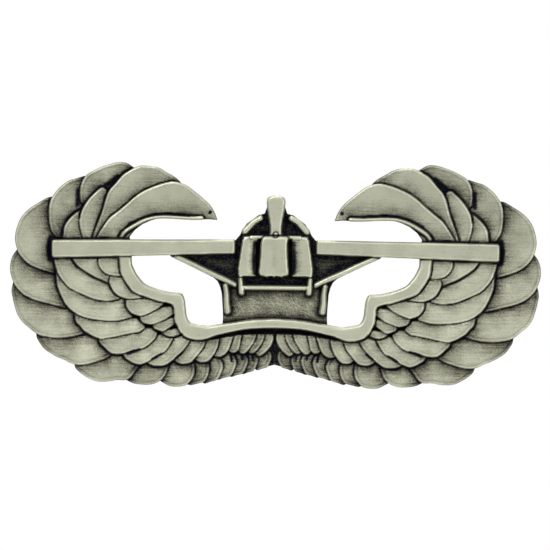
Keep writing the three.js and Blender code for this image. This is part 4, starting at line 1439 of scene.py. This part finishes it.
def welded(points: np.ndarray, faces: np.ndarray) -> Shape:
    """Joins points that coincide, drops the faces that this empties, and faces the rest out.

    Args:
        points: a closed piece's points, one per row.
        faces: its faces, a row of corners each.

    Returns:
        The points left and the faces.
    """
    first, name = merged(points)
    kept = np.round(points[first], WELD) + 0.0
    rings = []
    for face in name[faces].tolist():
        ring = [corner for k, corner in enumerate(face) if corner != face[k - 1]]
        if len(set(ring)) > 2:
            rings.append(ring)
    fans = np.array([(r[0], b, c) for r in rings for b, c in zip(r[1:-1], r[2:])])
    a, b, c = kept[fans[:, 0]], kept[fans[:, 1]], kept[fans[:, 2]]
    if (a * np.cross(b, c)).sum() < 0:
        rings = [ring[::-1] for ring in rings]
    return kept, rings


@dataclass(frozen=True)
class Turned:
    """A piece turned about the nail's axis.

    Args:
        profile: radius and place along the axis of each corner; from axis to axis, or closed.
        corner: how far each corner is rounded.
        wobble: how much its outer edge wavers.
        steps: how many steps the turn gets.
    """

    profile: Line
    corner: float = 0.05
    wobble: float = 0.0
    steps: int = 96

    def build(self) -> Shape:
        """Turns the profile.

        Returns:
            The closed piece, its axis along y.
        """
        closed = self.profile[0][0] > 0
        line = rounded(self.profile, self.corner, closed)
        if closed:
            line = np.vstack([line, line[:1]])
        turn = np.linspace(0.0, 2 * math.pi, self.steps + 1)
        outer = (line[:, 0] - line[:, 0].min()) / np.ptp(line[:, 0])
        lobes = sum(size * np.sin(count * turn + start) for count, start, size in LOBES)
        waver = self.wobble * lobes
        radius = line[:, :1] + outer[:, None] * waver
        x, z = radius * np.cos(turn), radius * np.sin(turn)
        y = np.broadcast_to(line[:, 1:], x.shape)
        number = np.arange(x.size).reshape(x.shape)
        faces = np.stack([number[:-1, :-1], number[1:, :-1], number[1:, 1:], number[:-1, 1:]], -1)
        return welded(np.stack([x, y, z], axis=-1).reshape(-1, 3), faces.reshape(-1, 4))


@dataclass
class CentreLine:
    """The middle of a bent sheet, followed by its own length.

    Args:
        points: its corners.
        corner: how far each bend is rounded.
        reach: how far each way a direction is taken over.
    """

    points: Line
    corner: float = 0.5
    reach: float = 0.06

    def __post_init__(self) -> None:
        """Rounds the bends and measures the line."""
        self.line = rounded(self.points, self.corner, closed=False, steps=6)
        runs = np.linalg.norm(np.diff(self.line, axis=0), axis=1)
        self.along = np.concatenate([[0.0], np.cumsum(runs)])
        self.length = float(self.along[-1])

    def place(self, s: np.ndarray) -> np.ndarray:
        """Where the line is after some length, going straight on past its ends.

        Args:
            s: lengths from its start.

        Returns:
            The places, along the last axis.
        """
        spot = np.stack([np.interp(s, self.along, c) for c in self.line.T], axis=-1)
        ends = ((np.minimum(s, 0.0), self.line[1] - self.line[0]),
                (np.maximum(s - self.length, 0.0), self.line[-1] - self.line[-2]))
        for past, run in ends:
            spot = spot + past[..., None] * run / np.linalg.norm(run)
        return spot

    def normal(self, s: np.ndarray) -> np.ndarray:
        """The direction square to the line, to its right.

        Args:
            s: lengths from its start.

        Returns:
            The directions, along the last axis.
        """
        run = self.place(s + self.reach) - self.place(s - self.reach)
        run /= np.linalg.norm(run, axis=-1, keepdims=True)
        return np.stack([run[..., 1], -run[..., 0]], axis=-1)

    def steps(self, step: float) -> np.ndarray:
        """Lengths from half a step before the start to the end."""
        count = math.ceil(self.length / step) + 2
        return np.linspace(-0.5 * self.length / (count - 1.5), self.length, count)


@dataclass
class SheetPiece:
    """A piece made from sheet metal of one thickness.

    Args:
        line: the middle of the sheet in section.
        thickness: the sheet's thickness.
        bulge: how far its cut edges stand out, rounded.
    """

    line: CentreLine
    thickness: float
    bulge: float = 0.04

    def cut(self) -> ClippedSheet:
        """The middle surface: values of x, y, z and the direction square to it."""
        raise NotImplementedError

    def build(self) -> Shape:
        """Gives the cut sheet its thickness and its rounded edges.

        Returns:
            The closed piece.
        """
        values, triangles, rim = self.cut().build()
        points, normals = values[:, 2:5], values[:, 5:8]
        first, name = merged(points)
        summed = np.zeros((len(first), 3))
        np.add.at(summed, name, normals)
        normals = summed / np.linalg.norm(summed, axis=1, keepdims=True)
        points, triangles, rim = points[first], name[triangles], name[rim]
        triangles = triangles[(triangles != np.roll(triangles, 1, axis=1)).all(axis=1)]
        rim = rim[rim[:, 0] != rim[:, 1]]
        a, b, c = (points[triangles[:, k]] for k in range(3))
        if (np.cross(b - a, c - a) * normals[triangles[:, 0]]).sum() < 0:
            triangles, rim = triangles[:, ::-1], rim[:, ::-1]
        return self.thickened(points, normals, triangles, rim)

    def thickened(self, points: np.ndarray, normals: np.ndarray, triangles: np.ndarray,
                  rim: np.ndarray) -> Shape:
        """Both faces of the sheet and the rounded wall between them.

        Args:
            points: the middle surface's points.
            normals: the direction square to it at each point.
            triangles: its triangles, turned to face along the directions.
            rim: its edges, in the order that the triangles use.

        Returns:
            The closed piece.
        """
        out = np.zeros_like(points)
        runs = np.cross(points[rim[:, 1]] - points[rim[:, 0]], normals[rim[:, 0]])
        runs /= np.linalg.norm(runs, axis=1, keepdims=True)
        for column in (0, 1):
            np.add.at(out, rim[:, column], runs)
        edge, local = np.unique(rim, return_inverse=True)
        local = local.reshape(-1, 2)
        away = out[edge] / np.linalg.norm(out[edge], axis=1, keepdims=True)
        half, size = self.thickness / 2, len(points)
        rings, numbers = [points + half * normals, points - half * normals], [edge]
        for k, angle in enumerate(np.radians(CUT_EDGE)):
            numbers.append(2 * size + k * len(edge) + np.arange(len(edge)))
            rings.append(points[edge] + half * math.sin(angle) * normals[edge]
                         + self.bulge * math.cos(angle) * away)
        numbers.append(edge + size)
        faces = [*triangles.tolist(), *(triangles[:, ::-1] + size).tolist()]
        for above, below in zip(numbers[:-1], numbers[1:]):
            a, b = local.T
            faces += np.column_stack([above[b], above[a], below[a], below[b]]).tolist()
        return np.vstack(rings), faces


@dataclass
class Dome(SheetPiece):
    """The clutch's drawn cover, with a window in two sides of its dome.

    Args:
        window: half the windows' width, half their height and their middle along the axis.
        strap: half the width of what is left standing between them.
        corner: the windows' corner radius.
        steps: how many steps the turn gets.
        pitch: the size of its facets along the section.
    """

    window: Triple = (1.75, 1.025, 3.3)
    strap: float = 1.55
    corner: float = 0.3
    steps: int = 128
    pitch: float = 0.16

    def cut(self) -> ClippedSheet:
        """Turns the section about the axis and cuts the windows.

        Returns:
            The middle surface.
        """
        turn = np.linspace(-0.5 * math.pi, 1.5 * math.pi, self.steps + 1)
        s = self.line.steps(self.pitch)
        across, along = np.meshgrid(turn, s)
        spot, normal = self.line.place(along), self.line.normal(along)
        cos, sin = np.cos(across), np.sin(across)
        x, y, z = spot[..., 0] * cos, spot[..., 1], spot[..., 0] * sin
        half_width, half_height, middle = self.window
        aside = np.abs(z) - half_width + self.corner
        above = np.abs(y - middle) - half_height + self.corner
        clear = (np.hypot(np.maximum(aside, 0.0), np.maximum(above, 0.0))
                 + np.minimum(np.maximum(aside, above), 0.0) - self.corner)
        level = np.minimum(along, np.maximum(clear, self.strap - np.abs(x)))
        fields = (x, y, z, normal[..., 0] * cos, normal[..., 1], normal[..., 0] * sin)
        return ClippedSheet(turn, s, level, fields)


@dataclass
class BentStrip(SheetPiece):
    """A strip cut to a blank and bent along its length.

    Args:
        widths: half the blank's width after some lengths.
        corner: the radius of the blank's far corners.
        hole: the radius that is cut clear round the axis.
        pitch: the size of its facets.
    """

    widths: Line = ((0.0, 1.0),)
    corner: float = 0.2
    hole: float = 0.6
    pitch: float = 0.12

    def cut(self) -> ClippedSheet:
        """Bends the blank and cuts it out.

        Returns:
            The middle surface.
        """
        lengths, halves = np.transpose(self.widths)
        reach = math.ceil(halves.max() / self.pitch) + 1
        z_line = (np.arange(-reach, reach) + 0.5) * self.pitch
        s_line = np.append(self.line.steps(self.pitch), self.line.length + self.pitch)
        z, s = np.meshgrid(z_line, s_line)
        spot, normal = self.line.place(s), self.line.normal(s)
        past = np.maximum(s - self.line.length + self.corner, 0.0)
        aside = np.maximum(np.abs(z) - halves[-1] + self.corner, 0.0)
        level = np.minimum.reduce([
            s, np.interp(s, lengths, halves) - np.abs(z), self.corner - np.hypot(past, aside),
            np.hypot(spot[..., 0], z) - self.hole])
        fields = (spot[..., 0], spot[..., 1], z, normal[..., 0], normal[..., 1], np.zeros_like(z))
        return ClippedSheet(z_line, s_line, level, fields)


@dataclass
class Fitting:
    """Something that sits about one nail's axis, behind one wing.

    Args:
        side: which wing.
        finishes: the materials, by slot.
        axis: the nail's axis: how far out and how high.
    """

    side: Side
    finishes: dict[str, bpy.types.Material]
    axis: Point = (24.0, -1.6)

    def add(self, label: str, node: str, body: str, metal: StampedMetal, shape: Shape,
            lift: float = 0.0) -> None:
        """Makes one piece in its place.

        Args:
            label: what the piece is, after its side.
            node: the node it stands for, after its side.
            body: the body it moves with.
            metal: its metal.
            shape: its points and faces about the axis, in millimetres.
            lift: how far behind the badge's back it stands.
        """
        side = self.side.name.lower()
        points, faces = shape
        spots = points + (self.side.value * self.axis[0], lift, self.axis[1])
        piece = mesh_object(f"{side}_{label}", spots * MM, faces, self.finishes[metal.slot])
        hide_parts(f"{side}_{node}")
        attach(piece, body)
        log.info("%s: %d faces", piece.name, len(faces))


@dataclass
class Nail(Fitting):
    """A nail, the pad that holds it and the solder round the pad.

    Args:
        nail: its flat head, its shank, its neck and its point.
        pad: the stamped pad, which holds the head against the plate.
        solder: the ring of solder round the pad.
    """

    nail: Turned = Turned((
        (0.0, 0.03), (1.1, 0.03), (1.1, 0.25), (0.525, 0.28), (0.525, 4.5), (0.42, 4.6),
        (0.42, 5.1), (0.525, 5.2), (0.525, 6.7), (0.1, 7.95), (0.0, 8.0)))
    pad: Turned = Turned((
        (1.13, 0.03), (2.4, 0.03), (2.4, 0.3), (1.75, 0.34), (1.4, 0.6), (0.555, 0.62),
        (0.555, 0.31), (1.13, 0.31)))
    solder: Turned = Turned(((2.43, 0.03), (2.93, 0.03), (2.65, 0.12), (2.43, 0.33)), 0.03, 0.05)

    def build(self) -> None:
        """Makes the three pieces."""
        self.add("nail", "post", "badge", NICKEL, self.nail.build())
        self.add("nail_pad", "post_pad", "badge", NICKEL, self.pad.build())
        self.add("solder_ring", "solder_fillet", "badge", SOLDER, self.solder.build())


@dataclass
class Clutch(Fitting):
    """A sprung butterfly clutch: base disc, drawn cover, spring leaf and two finger wings.

    Args:
        lift: how far behind the badge's back it stands at rest.
        disc: the disc that bears on the cloth.
        cover: the drawn cover, its rim rolled round the disc.
        leaf: the leaf under the dome.
        finger: the outer finger wing of the right clutch; the others are turned from it.
    """

    lift: float = 3.7
    disc: Turned = Turned((
        (0.75, 0.0), (5.3, 0.0), (5.3, 0.4), (1.2, 0.4), (1.0, 0.6), (0.75, 0.6)))
    cover: Dome = field(default_factory=lambda: Dome(CentreLine((
        (4.8, -0.2), (5.3, -0.2), (5.56, -0.05), (5.56, 0.4), (5.35, 0.6), (3.3, 0.6),
        (3.05, 0.9), (2.8, 2.2), (2.6, 3.2), (2.05, 4.05), (1.25, 4.65), (0.0, 4.8))), 0.34))
    leaf: BentStrip = field(default_factory=lambda: BentStrip(CentreLine((
        (-1.55, 2.2), (-1.5, 3.0), (-1.1, 3.65), (0.0, 3.95), (1.1, 3.65), (1.5, 3.0),
        (1.55, 2.2))), 0.2, 0.03, ((0.0, 1.1),), 0.2, 0.62))
    finger: BentStrip = field(default_factory=lambda: BentStrip(CentreLine((
        (0.3, 1.15), (1.1, 1.15), (1.65, 1.5), (1.85, 2.3), (2.25, 3.05), (3.1, 3.6),
        (4.1, 4.3), (4.75, 5.3), (4.95, 5.9))), 0.3, 0.04,
        ((0.0, 1.5), (3.5, 1.5), (4.1, 2.4), (5.4, 2.7)), 1.2, 0.58))

    def build(self) -> None:
        """Makes the five pieces."""
        side = self.side.name.lower()
        body = f"{side}_clutch"
        self.add("base_disc", "clutch_base_disc", body, CLUTCH_BRASS, self.disc.build(), self.lift)
        self.add("drawn_cover", "clutch_cover", body, CLUTCH_BRASS, self.cover.build(), self.lift)
        self.add("spring_leaf", "clutch_spring", body, SPRING_BRASS, self.leaf.build(), self.lift)
        points, faces = self.finger.build()
        for wing, way in (("inner", -self.side.value), ("outer", self.side.value)):
            turned = points * (way, 1, way)
            self.add(f"{wing}_finger", f"clutch_{wing}_wing", f"{side}_{wing}_wing", SPRING_BRASS,
                     (turned, faces), self.lift)


@dataclass(frozen=True)
class Lamp:
    """A square soft light aimed at the badge.

    Args:
        name: its name.
        place: where it hangs, in metres.
        size: its side in metres.
        power: its power in watts.
    """

    name: str
    place: Triple
    size: float
    power: float

    def hang(self) -> None:
        """Adds the light."""
        lamp = bpy.data.lights.new(self.name, "AREA")
        lamp.size = self.size
        lamp.energy = self.power
        holder = bpy.data.objects.new(self.name, lamp)
        holder.location = self.place
        holder.rotation_euler = (-Vector(self.place)).to_track_quat("-Z", "Y").to_euler()
        bpy.context.collection.objects.link(holder)


LAMPS = (
    Lamp("key", (-0.22, -0.40, 0.34), 0.30, 1.9),
    Lamp("fill", (0.34, -0.36, 0.06), 0.34, 0.8),
    Lamp("rim_light", (0.05, 0.22, 0.42), 0.30, 1.0),
)


@dataclass
class Studio:
    """The white studio: a soft world, three soft lights, a pale floor and the camera.

    Args:
        view_width: width of what the camera sees at the badge, in metres.
        distance: from the camera to the badge, in metres.
        offset: how far right of the badge's middle and above it the camera is, in metres.
        roll: the camera's roll in degrees.
        sensor: the width of the camera's sensor, in millimetres.
        clip: the nearest and the farthest that the camera sees, in metres.
        glow: how strongly the world lights the badge, from straight below and straight above.
        floor_radius: the floor's radius, in metres.
        floor_drop: how far under the badge's middle it lies.
        floor_sides: how many sides its rim has.
        floor_grain: its grain, in lumps to the metre.
        floor_tones: its darker and its lighter tone.
        floor_roughness: how matt it is.
    """

    view_width: float = 0.0659
    distance: float = 0.9
    offset: Point = (-0.00005, 0.00009)
    roll: float = 0.6
    sensor: float = 36.0
    clip: Point = (0.01, 10.0)
    glow: Point = (0.3, 0.85)
    floor_radius: float = 0.16
    floor_drop: float = 0.05
    floor_sides: int = 96
    floor_grain: float = 40.0
    floor_tones: tuple[Colour, Colour] = ((0.88, 0.88, 0.87), (0.92, 0.92, 0.91))
    floor_roughness: float = 0.8

    def build(self) -> None:
        """Sets up the world, the lights, the floor and the camera."""
        self.world()
        for lamp in LAMPS:
            lamp.hang()
        self.floor()
        self.camera()

    def world(self) -> None:
        """A white backdrop that lights the badge more softly than it looks."""
        world = bpy.data.worlds.new("studio")
        bpy.context.scene.world = world
        world.use_nodes = True
        tree = world.node_tree
        tree.nodes.clear()
        kinds = ("TexCoord", "SeparateXYZ", "MapRange", "Background", "Background", "LightPath",
                 "MixShader", "OutputWorld")
        place, split, rise, soft, white, seen, mix, output = (
            tree.nodes.new(f"ShaderNode{kind}") for kind in kinds)
        for sky in (soft, white):
            sky.inputs["Color"].default_value = (1.0, 1.0, 1.0, 1.0)
        white.inputs["Strength"].default_value = 1.0
        rise.inputs["From Min"].default_value = -1.0
        for socket, strength in zip(("To Min", "To Max"), self.glow):
            rise.inputs[socket].default_value = strength
        for giver, taker in (
                (place.outputs["Generated"], split.inputs["Vector"]),
                (split.outputs["Z"], rise.inputs["Value"]),
                (rise.outputs["Result"], soft.inputs["Strength"]),
                (seen.outputs["Is Camera Ray"], mix.inputs["Fac"]),
                (soft.outputs["Background"], mix.inputs[1]),
                (white.outputs["Background"], mix.inputs[2]),
                (mix.outputs["Shader"], output.inputs["Surface"])):
            tree.links.new(giver, taker)

    def floor(self) -> None:
        """A pale round floor well under the badge."""
        turns = np.linspace(0.0, 2 * math.pi, self.floor_sides, endpoint=False)
        rim = np.column_stack([self.floor_radius * np.cos(turns),
                               self.floor_radius * np.sin(turns),
                               np.full(self.floor_sides, -self.floor_drop)])
        nodes = NodeTree(bpy.data.materials.new("pale_floor"))
        grain = nodes.noise((self.floor_grain,) * 3)
        share = nodes.ranged(grain, 0.3, 0.7, 0.0, 1.0)
        nodes.link(nodes.mix(share, *self.floor_tones), nodes.shader.inputs["Base Color"])
        nodes.shader.inputs["Roughness"].default_value = self.floor_roughness
        floor = mesh_object("pale_floor", rim, [range(self.floor_sides)], nodes.material)

    def camera(self) -> None:
        """The camera, in front of the badge and looking straight along y."""
        lens = bpy.data.cameras.new("camera")
        lens.sensor_width = self.sensor
        lens.lens = self.sensor * self.distance / self.view_width
        lens.clip_start, lens.clip_end = self.clip
        holder = bpy.data.objects.new("camera", lens)
        level = Matrix.Rotation(math.radians(90.0), 4, "X")
        rolled = Matrix.Rotation(math.radians(self.roll), 4, "Z")
        place = Matrix.Translation((self.offset[0], -self.distance, self.offset[1]))
        holder.matrix_world = place @ level @ rolled
        bpy.context.collection.objects.link(holder)
        bpy.context.scene.camera = holder
        bpy.context.scene.view_settings.view_transform = "Standard"


def main() -> None:
    """Builds the studio and every piece, and reports each one."""
    Studio().build()
    plate = BadgePlate(AntiqueSilver().material()).build()
    log.info("%s: %d faces", plate.name, len(plate.data.polygons))
    metals = (NICKEL, SOLDER, CLUTCH_BRASS, SPRING_BRASS)
    finishes = {metal.slot: metal.material() for metal in metals}
    for side in Side:
        Nail(side, finishes).build()
        Clutch(side, finishes).build()


if __name__ == "__main__":
    main()
